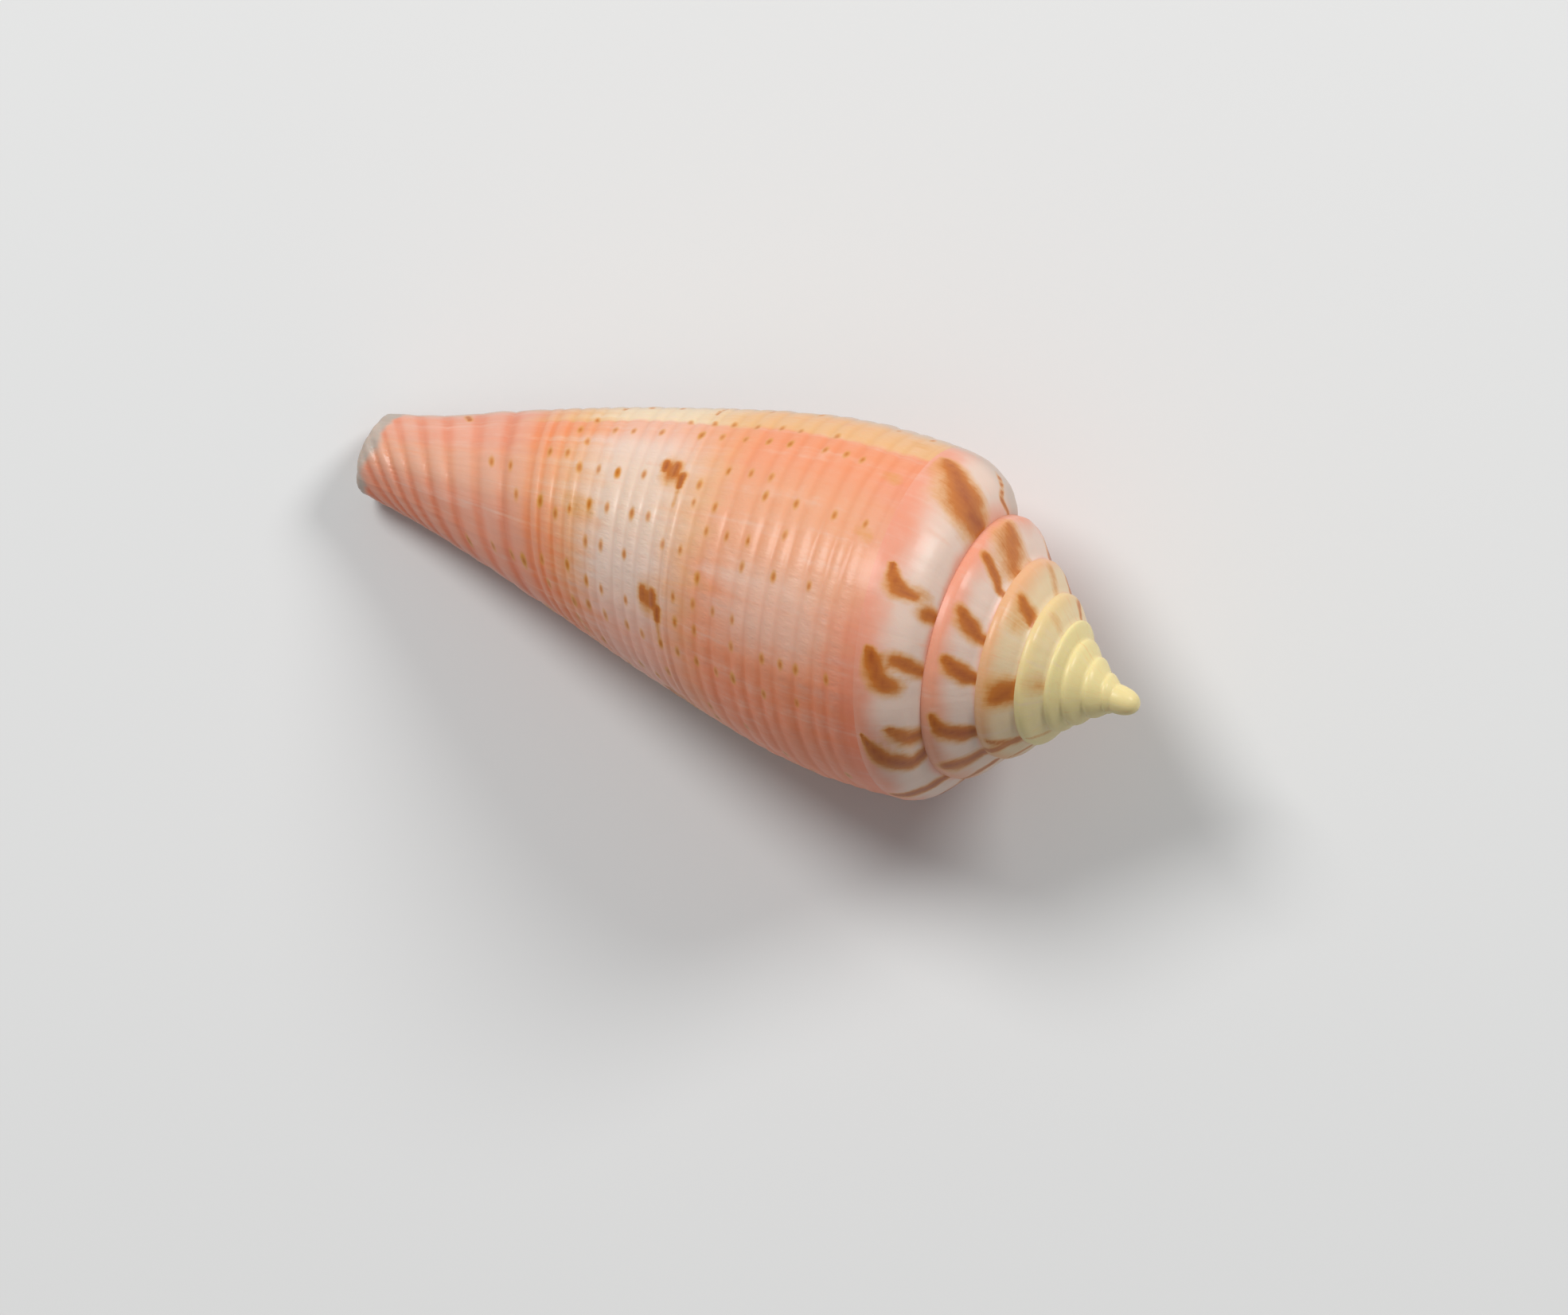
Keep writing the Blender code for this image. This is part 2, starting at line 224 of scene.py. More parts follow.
def whorl_radius(age, reach):
    """Radius at lip size of the smooth whorl at a reach on the step or on the side."""
    step_radius, step_reach = shoulder(age)
    side = side_radius(reach) + swelling(age, reach)
    rise = smoothstep((reach - step_reach) / (PROFILE_REACH[0] - step_reach))
    neck = step_radius + (PROFILE_RADIUS[0] - step_radius) * rise
    start_radius, start_reach = step_start(age)
    outward, down, band = step_shape(age)
    height = np.maximum(step_reach - start_reach, 1e-6)
    fall = (reach - start_reach) / (height * (1.0 - band))
    cosine = (1.0 - np.clip(fall, 0.0, 1.0)) ** (1.0 / down)
    sine = np.sqrt(np.maximum(1.0 - cosine * cosine, 0.0))
    step = start_radius + (step_radius - start_radius) * sine ** outward
    return np.where(reach >= PROFILE_REACH[0], side, np.where(reach >= step_reach, neck, step))


def waves(x, seed, octaves=1):
    """Smooth repeatable noise along a line, between -1 and 1, one bump per unit."""
    total = np.zeros_like(np.asarray(x, float))
    for k in range(octaves):
        values = np.random.default_rng(seed + 31 * k).uniform(-1.0, 1.0, 4096)
        y = np.asarray(x, float) * 2 ** k
        i = np.floor(y).astype(int)
        t = smoothstep(y - i)
        total += (values[i % 4096] * (1 - t) + values[(i + 1) % 4096] * t) / 2 ** k
    return total


# where growth once paused, where the lip flares after it and where an old rib stands, in turns
# behind the lip, and how far the pause, the rib and the granules go in or out
PAUSE_TURNS = 0.0835
FLARE_TURNS = 0.082
RIB_TURNS = 0.338
PAUSE_DEPTH = 0.035
RIB_HEIGHT = 0.022
GRANULE_HEIGHT = 0.018
GROOVE_REACH = np.array(GROOVES)
RELIEF_REACH, RELIEF_SIZE = np.array(RELIEF).T


def cord_phase(reach):
    """0 in a groove and 1 on the crest of a cord."""
    i = np.clip(np.searchsorted(GROOVE_REACH, reach, side="right") - 1, 0, len(GROOVE_REACH) - 2)
    across = (reach - GROOVE_REACH[i]) / (GROOVE_REACH[i + 1] - GROOVE_REACH[i])
    crest = np.abs(np.sin(np.pi * np.clip(across, 0.0, 1.0))) ** 0.85
    return np.where(reach < GROOVE_REACH[0], 0.5, crest), i


def side_relief(age, reach):
    """Height of cords, granules and growth lines over the smooth side."""
    phase, cord = cord_phase(reach)
    size = np.interp(reach, RELIEF_REACH, RELIEF_SIZE)
    size = size * (1.0 + 0.25 * np.sin(2.4 * cord + 1.0) + 0.15 * waves(age * 9.0 + cord * 7.3, 5))
    size = size * (1.0 - 0.5 * smoothstep((age + 0.22) / 0.12) * smoothstep((reach - 26.0) / 3.0))
    starts = smoothstep((reach - 9.0) / 0.5)
    inside = smoothstep((age + 1.0 + MOUTH_TURNS / 2.0) / (MOUTH_TURNS / 2.0))
    cords = size * (phase - 0.55) * starts * inside
    granules = GRANULE_HEIGHT * phase * waves(age * 46.0 + cord * 5.7, 11) * smoothstep((26.0 - reach) / 8.0)
    return cords + (granules + growth_lines(age, reach)) * inside


def growth_lines(age, reach):
    """Fine wrinkles along old lip edges, and the step where growth once paused."""
    slant = age + 0.0012 * np.sin(reach * 0.5) + 0.0006 * waves(reach * 1.3, 3)
    wrinkles = 0.007 * waves(slant * 70.0, 17) + 0.004 * waves(slant * 210.0, 23)
    pause = -PAUSE_DEPTH * np.exp(-((slant + PAUSE_TURNS) / 0.0022) ** 2)
    pause = pause * (1.0 - 0.75 * smoothstep((reach - 24.0) / 3.0))
    flare = 0.02 * smoothstep((slant + FLARE_TURNS) / 0.012)
    rib = RIB_HEIGHT * np.exp(-((slant + RIB_TURNS) / 0.006) ** 2)
    return wrinkles + pause + flare + rib


def step_relief(age, across):
    """Height of fine threads and growth lines over the smooth step; 0 at the suture."""
    held = np.sin(np.pi * np.clip(across, 0.0, 1.0)) ** 0.5
    threads = 0.010 * np.sin(2.0 * np.pi * 3.5 * across + 0.6 * waves(age * 6.0, 41))
    band = -0.030 * np.exp(-((across - 0.22) / 0.07) ** 2)
    wrinkles = 0.014 * waves(age * 52.0 + 0.8 * across, 29) + 0.007 * waves(age * 160.0, 37)
    return (threads + band + wrinkles) * held * growth(age)


def side_rows():
    """Fixed reach of the rows from the first groove to where the front rows start."""
    rows = []
    for start, end in zip(GROOVES, GROOVES[1:]):
        if start >= FRONT_STARTS:
            break
        count = max(4, round((end - start) / ROW_HEIGHT))
        rows += [start + (end - start) * i / count for i in range(count)]
    return np.array(rows)


SIDE_ROWS = side_rows()
FRONT = (np.arange(FRONT_ROWS) / (FRONT_ROWS - 1)) ** 0.97
FIRST_SIDE = STEP_ROWS + NECK_ROWS
LAST_ROW = FIRST_SIDE + len(SIDE_ROWS) + FRONT_ROWS - 1
TOP_ROW = FIRST_SIDE + 4
RIM_ROUND = 0.13
RIM_WAVE = 0.07


def rim_depth(age):
    """Depth of the front rim, slightly uneven around the axis."""
    around = np.mod(age, 1.0)
    uneven = waves(around * 9.0, 71) * np.minimum(around, 1.0 - around) * 6.0
    return LENGTH - RIM_WAVE * (1.0 + np.clip(uneven, -1.0, 1.0)) / 2.0


def row_reach(age):
    """Reach of every row of a whole column, from the suture to the front rim."""
    step_reach = float(shoulder(age)[1])
    step = step_point(age, np.arange(STEP_ROWS + 1) / STEP_ROWS)[1]
    neck = step_reach + (GROOVES[0] - step_reach) * np.arange(1, NECK_ROWS) / NECK_ROWS
    end = float(reach_at(age, rim_depth(age)))
    front = FRONT_STARTS + (end - FRONT_STARTS) * FRONT
    return np.concatenate([step, neck, SIDE_ROWS, front])


def turn_angle(age):
    return -math.pi / 2.0 - LIP_SIDE - 2.0 * math.pi * age


def to_frame(age, radius, depth):
    """Points given by age, radius and depth, in the frame and in metres."""
    angle = turn_angle(age)
    lean = LEAN * np.exp(-(np.maximum(depth, 0.0) / LEAN_DEPTH) ** 2)
    return from_shell(np.stack([radius * np.cos(angle), radius * np.sin(angle) + lean, -depth], axis=-1))


def from_shell(points):
    """Millimetres in the shell's own axes to the frame, lying on its mouth, in metres."""
    x, y, z = points[..., 0], points[..., 1], points[..., 2]
    height = np.maximum(AXIS_TIP[2] + z * SINE + x * COSINE, 0.0)
    placed = [AXIS_TIP[0] + z * COSINE - x * SINE, AXIS_TIP[1] - y, height]
    return np.stack(placed, axis=-1) * MM


def rim_inset(depth, rim):
    """How far the surface curls in close to the front rim."""
    near = np.clip((depth - (rim - RIM_ROUND)) / RIM_ROUND, 0.0, 1.0)
    return 0.8 * RIM_ROUND * (1.0 - np.sqrt(1.0 - near ** 2))


# the rounded edge of the lip, thinner than the 0.24 mm of the solid
LIP_ROUND = 0.09
LIP_EDGE = 0.15
LIP_PARTS = (0.7, 0.4, 0.18, 0.06, 0.0)
NOTCH_TURNS = 0.05
NOTCHES = ((8.6, 0.0), (9.6, 0.0030), (16.0, 0.0045), (24.0, 0.0075), (30.0, 0.014), (33.0, 0.006))


def lip_inset(radius, age):
    """How far the outside curls in within a short distance of the lip edge."""
    gap = -2.0 * math.pi * radius * age
    near = np.clip(1.0 - gap / (2.0 * LIP_ROUND), 0.0, 1.0)
    return LIP_ROUND * (1.0 - np.sqrt(1.0 - near ** 2))


def lip_notch(reach):
    """How far, in turns, the lip edge stands back at each groove."""
    phase = cord_phase(reach)[0]
    sizes = np.interp(reach, *np.array(NOTCHES).T)
    return sizes * (1.0 - phase)


def outer_column(age, whole=True):
    """Age, radius, depth and reach of the points of one column on the outside."""
    reach = row_reach(age)
    if not whole:
        reach = reach[:STEP_ROWS + 1]
    rows = np.arange(len(reach))
    on_step = rows <= STEP_ROWS
    across = np.minimum(rows / STEP_ROWS, 1.0)
    step = step_point(age, across)[0]
    side = whorl_radius(age, np.maximum(reach, shoulder(age)[1])) + side_relief(age, reach)
    radius = np.where(on_step, step, side) * growth(age)
    depth = depth_at(age, reach)
    lift = np.where(on_step, step_relief(age, across), 0.0)
    radius = radius + lift * np.sin(across * math.pi / 2.0)
    depth = depth - lift * np.cos(across * math.pi / 2.0)
    ages = np.full(len(reach), float(age))
    if whole:
        radius = radius - rim_inset(depth, rim_depth(age))
        radius = radius - lip_inset(radius, age) * (across > 0.0)
        near_lip = np.clip((age + NOTCH_TURNS) / NOTCH_TURNS, 0.0, 1.0)
        ages = ages - lip_notch(reach) * near_lip ** 2
    return ages, radius, depth, reach


def mouth_turns(reach):
    along = (reach - CANAL_START) / (CANAL_FULL - CANAL_START)
    return MOUTH_TURNS + (CANAL_TURNS - MOUTH_TURNS) * smoothstep(along)


class Sheet:
    """Collects points and faces, with the age and reach of every face corner."""

    def __init__(self):
        self.points = []
        self.count = 0
        self.faces = []
        self.places = []
        self.kinds = []

    def add_points(self, points):
        start = self.count
        self.points.append(points)
        self.count += len(points)
        return np.arange(start, self.count)

    def face(self, corners, places, kind):
        kept = []
        for i, corner in enumerate(corners):
            if corner not in [corners[k] for k in kept]:
                kept.append(i)
        kept.reverse()
        if len(kept) >= 3:
            self.faces.append([int(corners[i]) for i in kept])
            self.places.append([places[i] for i in kept])
            self.kinds.append(kind)

    def strip(self, left, right, left_places, right_places, kind):
        """Faces between two columns of the same length."""
        for i in range(len(left) - 1):
            self.face(
                (left[i], left[i + 1], right[i + 1], right[i]),
                (left_places[i], left_places[i + 1], right_places[i + 1], right_places[i]),
                kind,
            )

    def stitch(self, left, right, left_keys, right_keys, place, kind):
        """Triangles between two chains of different lengths, stepping by their keys."""
        i = 0
        j = 0
        while i < len(left) - 1 or j < len(right) - 1:
            step_left = j == len(right) - 1 or (
                i < len(left) - 1 and left_keys[i + 1] <= right_keys[j + 1]
            )
            corners = (left[i], right[j], left[i + 1] if step_left else right[j + 1])
            self.face(corners, (place,) * 3, kind)
            if step_left:
                i += 1
            else:
                j += 1


OUTSIDE = 0
INSIDE = 1
EDGE = 2
STEP_TOP = 8.0
STEP_SPAN = 2.4


def step_places(age):
    """The step counts from 5.6 at the suture to 8 at the shoulder, on the same scale as reach."""
    across = np.arange(STEP_ROWS + 1) / STEP_ROWS
    return [(age, STEP_TOP - STEP_SPAN * (1.0 - x)) for x in across]


def build_outside(sheet):
    """The ribbon of spire whorls with the whole last whorl, cut finer toward the lip."""
    columns = {}
    middles = {}
    previous = None
    for start, end, per_turn in LEVELS:
        unit = FINE // per_turn
        first = start * FINE if start == -SPIRE_TURNS else start * FINE + unit
        for step in range(first, min(end * FINE, -1) + 1, unit):
            ages, radius, depth, reach = outer_column(step / FINE, step >= -FINE)
            points = to_frame(ages, radius, depth)
            index = np.concatenate([
                [suture_point(sheet, columns, middles, step, points)],
                sheet.add_points(points[1:]) if step > -SPIRE_TURNS * FINE else [],
            ]).astype(int)
            if step == -SPIRE_TURNS * FINE:
                index = np.full(len(points), index[0])
            columns[step] = (index, reach, step / FINE)
            if previous is not None:
                cell(sheet, columns[previous], columns[step])
            previous = step
    close_sutures(sheet, columns, middles)
    return columns


def suture_point(sheet, columns, middles, step, points):
    """The shoulder point one turn earlier, or a new one between two coarser columns."""
    earlier = step - FINE
    if earlier < -SPIRE_TURNS * FINE:
        return sheet.add_points(points[:1])[0]
    if earlier in columns:
        return columns[earlier][0][STEP_ROWS]
    per_turn = [level[2] for level in LEVELS if level[0] * FINE < earlier <= level[1] * FINE][0]
    unit = FINE // per_turn
    ages, radius, depth, _ = outer_column(earlier / FINE, False)
    index = sheet.add_points(to_frame(ages, radius, depth)[-1:])[0]
    middles[earlier // unit * unit] = (earlier / FINE, index)
    return index


def cell(sheet, left, right):
    """Faces between neighbouring columns. On the spire the outermost row waits for its suture."""
    whole = min(len(left[0]), len(right[0])) > STEP_ROWS + 1
    last = STEP_ROWS + 1 if whole else STEP_ROWS
    sheet.strip(left[0][:last], right[0][:last], step_places(left[2]), step_places(right[2]), OUTSIDE)
    if whole:
        left_places = [(left[2], reach) for reach in left[1][STEP_ROWS:]]
        right_places = [(right[2], reach) for reach in right[1][STEP_ROWS:]]
        sheet.strip(left[0][STEP_ROWS:], right[0][STEP_ROWS:], left_places, right_places, OUTSIDE)


def close_sutures(sheet, columns, middles):
    """The outermost row of faces on each spire step, with the extra point its suture may need."""
    inner = STEP_TOP - STEP_SPAN / STEP_ROWS
    i = STEP_ROWS - 1
    steps = sorted(columns)
    for low, high in zip(steps, steps[1:]):
        left, right = columns[low], columns[high]
        if min(len(left[0]), len(right[0])) > STEP_ROWS + 1:
            continue
        a = (left[0][i], (left[2], inner))
        b = (left[0][i + 1], (left[2], STEP_TOP))
        c = (right[0][i + 1], (right[2], STEP_TOP))
        d = (right[0][i], (right[2], inner))
        faces = [(a, b, c, d)]
        if low in middles:
            age, index = middles[low]
            m = (index, (age, STEP_TOP))
            faces = [(a, b, m), (a, m, d), (m, c, d)]
        for corners in faces:
            sheet.face([corner[0] for corner in corners], [corner[1] for corner in corners], OUTSIDE)


def build_nipple(sheet, columns):
    """Rounded tip that closes the start of the ribbon."""
    unit = FINE // LEVELS[0][2]
    steps = range(-SPIRE_TURNS * FINE, (1 - SPIRE_TURNS) * FINE, unit)
    ring = [int(columns[step][0][0]) for step in steps]
    ages = np.array(steps) / FINE
    radius, depth = suture(float(1 - SPIRE_TURNS))
    places = [(age, STEP_TOP - STEP_SPAN) for age in ages]
    places.append(places[0])
    for i in range(1, NIPPLE_RINGS + 1):
        rise = math.sin(math.pi / 2.0 * i / (NIPPLE_RINGS + 1))
        shrink = (1.0 - rise ** NIPPLE_BLUNTNESS) ** (1.0 / NIPPLE_BLUNTNESS)
        height = depth - (depth + NIPPLE_RISE) * rise
        inner = list(sheet.add_points(to_frame(ages, radius * shrink, np.full(len(ages), height))))
        sheet.strip(inner + inner[:1], ring + ring[:1], places, places, OUTSIDE)
        ring = inner
    tip = sheet.add_points(to_frame(ages[:1], np.zeros(1), np.full(1, -NIPPLE_RISE)))[0]
    for i in range(len(ring)):
        sheet.face((tip, ring[i], ring[(i + 1) % len(ring)]), (places[i],) * 3, OUTSIDE)


def to_shell(points):
    """Frame metres to millimetres in the shell's own axes."""
    offset = points / MM - np.array(AXIS_TIP)
    along = offset[:, 0] * COSINE + offset[:, 2] * SINE
    up = -offset[:, 0] * SINE + offset[:, 2] * COSINE
    return np.stack([up, -offset[:, 1], along], axis=-1)


def build_lip(sheet, columns):
    """Narrow columns that finish the rounding of the outside into the lip edge."""
    made = [columns[-1]]
    for part in LIP_PARTS:
        age = -part / FINE
        ages, radius, depth, reach = outer_column(age)
        suture_column = columns[-FINE] if part == 0.0 else columns[-FINE - 1]
        first = suture_column[0][STEP_ROWS]
        index = np.concatenate([[first], sheet.add_points(to_frame(ages, radius, depth)[1:])])
        made.append((index, reach, age))
        cell(sheet, made[-2], made[-1])
    return made


def floor_points(age, rows):
    """Radius, depth and reach of chosen rows, each at its own age behind the mouth."""
    end = reach_at(age, rim_depth(age))
    side = rows - FIRST_SIDE
    front = FRONT[np.clip(side - len(SIDE_ROWS), 0, FRONT_ROWS - 1)]
    fixed = SIDE_ROWS[np.clip(side, 0, len(SIDE_ROWS) - 1)]
    reach = np.where(side < len(SIDE_ROWS), fixed, FRONT_STARTS + (end - FRONT_STARTS) * front)
    depth = depth_at(age, reach)
    radius = (whorl_radius(age, reach) + side_relief(age, reach)) * growth(age)
    return radius - rim_inset(depth, rim_depth(age)), depth, reach


def roof_radius(age, low, depth, inward):
    """Inner face of the last whorl, closing on the floor at the deep end of the slit."""
    thickness = LIP_EDGE + (WALL - LIP_EDGE) * min(inward / LIP_TAPER, 1.0)
    outside = whorl_radius(age, reach_at(age, depth - thickness)) * growth(age)
    inside = outside - thickness + rim_inset(depth, rim_depth(age))
    closing = 1.0 - smoothstep((inward - MOUTH_KEEPS_WIDTH) / (1.0 - MOUTH_KEEPS_WIDTH))
    opens = smoothstep(np.arange(len(low)) / 6.0)
    high = np.maximum(inside, low + LEAST_GAP)
    return low + (high - low) * closing * opens


def build_mouth(sheet, columns):
    """The slit behind the lip: the wall of the turn before and the inner face of the last."""
    rows = np.arange(TOP_ROW, LAST_ROW + 1)
    turns = mouth_turns(row_reach(-1.0)[rows])
    floors = []
    roofs = []
    places = []
    for i in range(MOUTH_COLUMNS + 1):
        inward = i / MOUTH_COLUMNS
        age = -1.0 - inward * turns
        radius, depth, reach = floor_points(age, rows)
        if i == 0:
            floors.append(columns[-FINE][0][rows])
        else:
            floors.append(sheet.add_points(to_frame(age, radius, depth)))
        places.append([(a, v) for a, v in zip(age, reach)])
        if i == MOUTH_COLUMNS:
            roofs.append(floors[-1])
            break
        high = roof_radius(age + 1.0, radius, depth, inward)
        back = lip_notch(reach) * max(0.0, 1.0 - inward * 8.0)
        points = to_frame(age + 1.0 - back, high, depth)
        roofs.append(np.concatenate([floors[i][:1], sheet.add_points(points[1:])]))
    above = [[(a + 1.0, v) for a, v in column] for column in places]
    for i in range(MOUTH_COLUMNS):
        sheet.strip(floors[i + 1], floors[i], places[i + 1], places[i], INSIDE)
        sheet.strip(roofs[i], roofs[i + 1], above[i], above[i + 1], INSIDE)
    return floors, roofs


def build_lip_face(sheet, columns, lip, roofs):
    """The thin edge of the lip, and the corner where it meets the whorl before."""
    belly_depth = outer_column(-1.0)[2]
    inner = list(columns[-FINE][0][STEP_ROWS:TOP_ROW]) + list(roofs[0])
    lip_depth = outer_column(0.0)[2]
    sheet.stitch(inner, list(lip[-1][0]), belly_depth[STEP_ROWS:], lip_depth, (0.0, 14.0), EDGE)


def build_front_end(sheet, columns, lip, floors, roofs):
    """Closes the front: a thin curled wall, and the pillar with a shallow hollow."""
    turns = float(mouth_turns(row_reach(-1.0)[-1:])[0])
    wall_end = round(turns * FINE)
    outer = [column[0][-1] for column in reversed(lip)]
    outer += [columns[-k][0][-1] for k in range(2, wall_end + 1)]
    outer_keys = [-column[2] for column in reversed(lip)]
    outer_keys += [k / FINE for k in range(2, wall_end + 1)]
    inner = [roof[-1] for roof in roofs]
    inner_keys = [turns * i / MOUTH_COLUMNS for i in range(MOUTH_COLUMNS + 1)]
    sheet.stitch(outer, inner, outer_keys, inner_keys, (-0.1, 40.0), EDGE)
    ring = [columns[-k][0][-1] for k in range(wall_end, FINE + 1)]
    ring += [floor[-1] for floor in floors[1:]]
    rim = to_shell(np.concatenate(sheet.points)[ring])
    centre = rim.mean(axis=0)
    for shrink, hollow in PILLAR_HOLLOW:
        points = centre + (rim - centre) * shrink + np.array([0.0, 0.0, hollow])
        inside = list(sheet.add_points(from_shell(points)))
        for i in range(len(ring)):
            j = (i + 1) % len(ring)
            sheet.face((ring[i], inside[i], inside[j], ring[j]), ((-0.5, 40.0),) * 4, EDGE)
        ring = inside
    bottom = centre + np.array([0.0, 0.0, PILLAR_HOLLOW[-1][1]])
    tip = sheet.add_points(from_shell(bottom[None, :]))[0]
    for i in range(len(ring)):
        sheet.face((ring[i], tip, ring[(i + 1) % len(ring)]), ((-0.5, 40.0),) * 3, EDGE)


PILLAR_HOLLOW = ((0.88, 0.03), (0.70, 0.14), (0.45, 0.26), (0.20, 0.31))


def build_sheet():
    sheet = Sheet()
    columns = build_outside(sheet)
    build_nipple(sheet, columns)
    lip = build_lip(sheet, columns)
    floors, roofs = build_mouth(sheet, columns)
    build_lip_face(sheet, columns, lip, roofs)
    build_front_end(sheet, columns, lip, floors, roofs)
    return sheet


# brown flames on the step: strength, then (age, how far across the step, half width in mm)
STEP_MARKS = (
    (0.9, ((-0.030, 0.00, 0.10), (-0.040, 0.15, 0.14), (-0.042, 0.22, 0.16), (-0.034, 0.30, 0.12),
           (-0.025, 0.40, 0.11), (-0.017, 0.47, 0.09))),
    (1.0, ((-0.104, 0.14, 0.60), (-0.109, 0.28, 1.00), (-0.094, 0.48, 0.80), (-0.081, 0.64, 0.50),
           (-0.068, 0.76, 0.25))),
    (0.4, ((-0.083, 0.30, 0.30), (-0.074, 0.50, 0.30), (-0.064, 0.74, 0.20))),
    (0.9, ((-0.237, 0.02, 0.30), (-0.237, 0.20, 0.42))),
    (0.4, ((-0.222, 0.33, 0.30), (-0.218, 0.42, 0.28))),
    (1.0, ((-0.226, 0.46, 0.30), (-0.225, 0.57, 0.42), (-0.217, 0.66, 0.25), (-0.205, 0.72, 0.12))),
    (0.95, ((-0.303, 0.00, 0.32), (-0.299, 0.20, 0.40), (-0.293, 0.42, 0.38))),
    (1.0, ((-0.318, 0.54, 0.50), (-0.312, 0.61, 0.42), (-0.296, 0.69, 0.30), (-0.286, 0.75, 0.18))),
    (1.0, ((-0.420, 0.05, 0.36), (-0.427, 0.32, 0.40), (-0.417, 0.48, 0.42), (-0.402, 0.66, 0.38),
           (-0.385, 0.78, 0.24), (-0.375, 0.86, 0.12))),
    (0.8, ((-0.386, 0.00, 0.42), (-0.386, 0.28, 0.45), (-0.376, 0.42, 0.36), (-0.368, 0.50, 0.20))),
    (0.6, ((-1.105, 0.10, 0.55), (-1.108, 0.22, 0.80), (-1.085, 0.45, 0.75), (-1.065, 0.62, 0.50),
           (-1.062, 0.74, 0.22))),
    (0.9, ((-1.158, 0.00, 0.20), (-1.157, 0.25, 0.22), (-1.142, 0.45, 0.26), (-1.134, 0.64, 0.25))),
    (1.0, ((-1.240, 0.00, 0.26), (-1.238, 0.28, 0.36), (-1.226, 0.46, 0.42), (-1.216, 0.60, 0.28))),
    (0.95, ((-1.303, 0.08, 0.28), (-1.300, 0.30, 0.38), (-1.290, 0.50, 0.36), (-1.280, 0.63, 0.22))),
    (1.0, ((-1.400, 0.15, 0.36), (-1.400, 0.30, 0.42), (-1.391, 0.48, 0.34), (-1.377, 0.64, 0.28),
           (-1.357, 0.78, 0.20))),
    (1.0, ((-1.465, 0.12, 0.42), (-1.465, 0.45, 0.45), (-1.452, 0.68, 0.34))),
    (0.35, ((-2.060, 0.00, 0.24), (-2.045, 0.28, 0.24), (-2.032, 0.58, 0.22))),
    (0.9, ((-2.170, 0.16, 0.26), (-2.157, 0.38, 0.45), (-2.146, 0.56, 0.24))),
    (0.3, ((-2.197, 0.50, 0.28), (-2.180, 0.45, 0.30))),
    (0.8, ((-2.302, 0.05, 0.38), (-2.318, 0.28, 0.68), (-2.333, 0.50, 0.40))),
    (0.8, ((-2.455, 0.00, 0.25), (-2.455, 0.90, 0.25))),
    (0.16, ((-3.140, 0.10, 0.15), (-3.125, 0.45, 0.20))),
    (0.28, ((-3.300, 0.10, 0.28), (-3.298, 0.35, 0.40))),
)
# blotches and short dashes on the side: strength, then (age, reach, half width in mm)
SIDE_MARKS = (
    (0.7, ((-0.170, 18.66, 0.48), (-0.162, 18.70, 0.46))),
    (1.0, ((-0.169, 18.46, 0.26), (-0.158, 18.48, 0.26))),
    (1.0, ((-0.165, 18.95, 0.22), (-0.157, 18.95, 0.22))),
    (1.0, ((-0.183, 18.08, 0.18), (-0.171, 18.10, 0.26))),
    (0.4, ((-0.206, 18.10, 0.09), (-0.186, 18.06, 0.14))),
    (0.7, ((-0.318, 18.78, 0.48), (-0.308, 18.78, 0.46))),
    (1.0, ((-0.318, 18.54, 0.28), (-0.304, 18.52, 0.26))),
    (1.0, ((-0.316, 19.00, 0.22), (-0.303, 19.00, 0.22))),
    (1.0, ((-0.332, 18.26, 0.18), (-0.321, 18.26, 0.24))),
    (0.4, ((-0.354, 18.26, 0.09), (-0.335, 18.26, 0.14))),
    (0.8, ((-0.066, 28.10, 0.14), (-0.044, 28.20, 0.17))),
    (0.7, ((-0.058, 18.15, 0.08), (-0.040, 18.20, 0.09))),
    (0.24, ((-0.232, 22.00, 0.34), (-0.228, 22.80, 0.40))),
    (0.20, ((-0.189, 9.60, 0.30), (-0.186, 9.90, 0.24))),
    (0.20, ((-0.122, 9.60, 0.30), (-0.120, 9.90, 0.24))),
    (0.22, ((-0.056, 9.70, 0.34), (-0.054, 10.0, 0.24))),
)
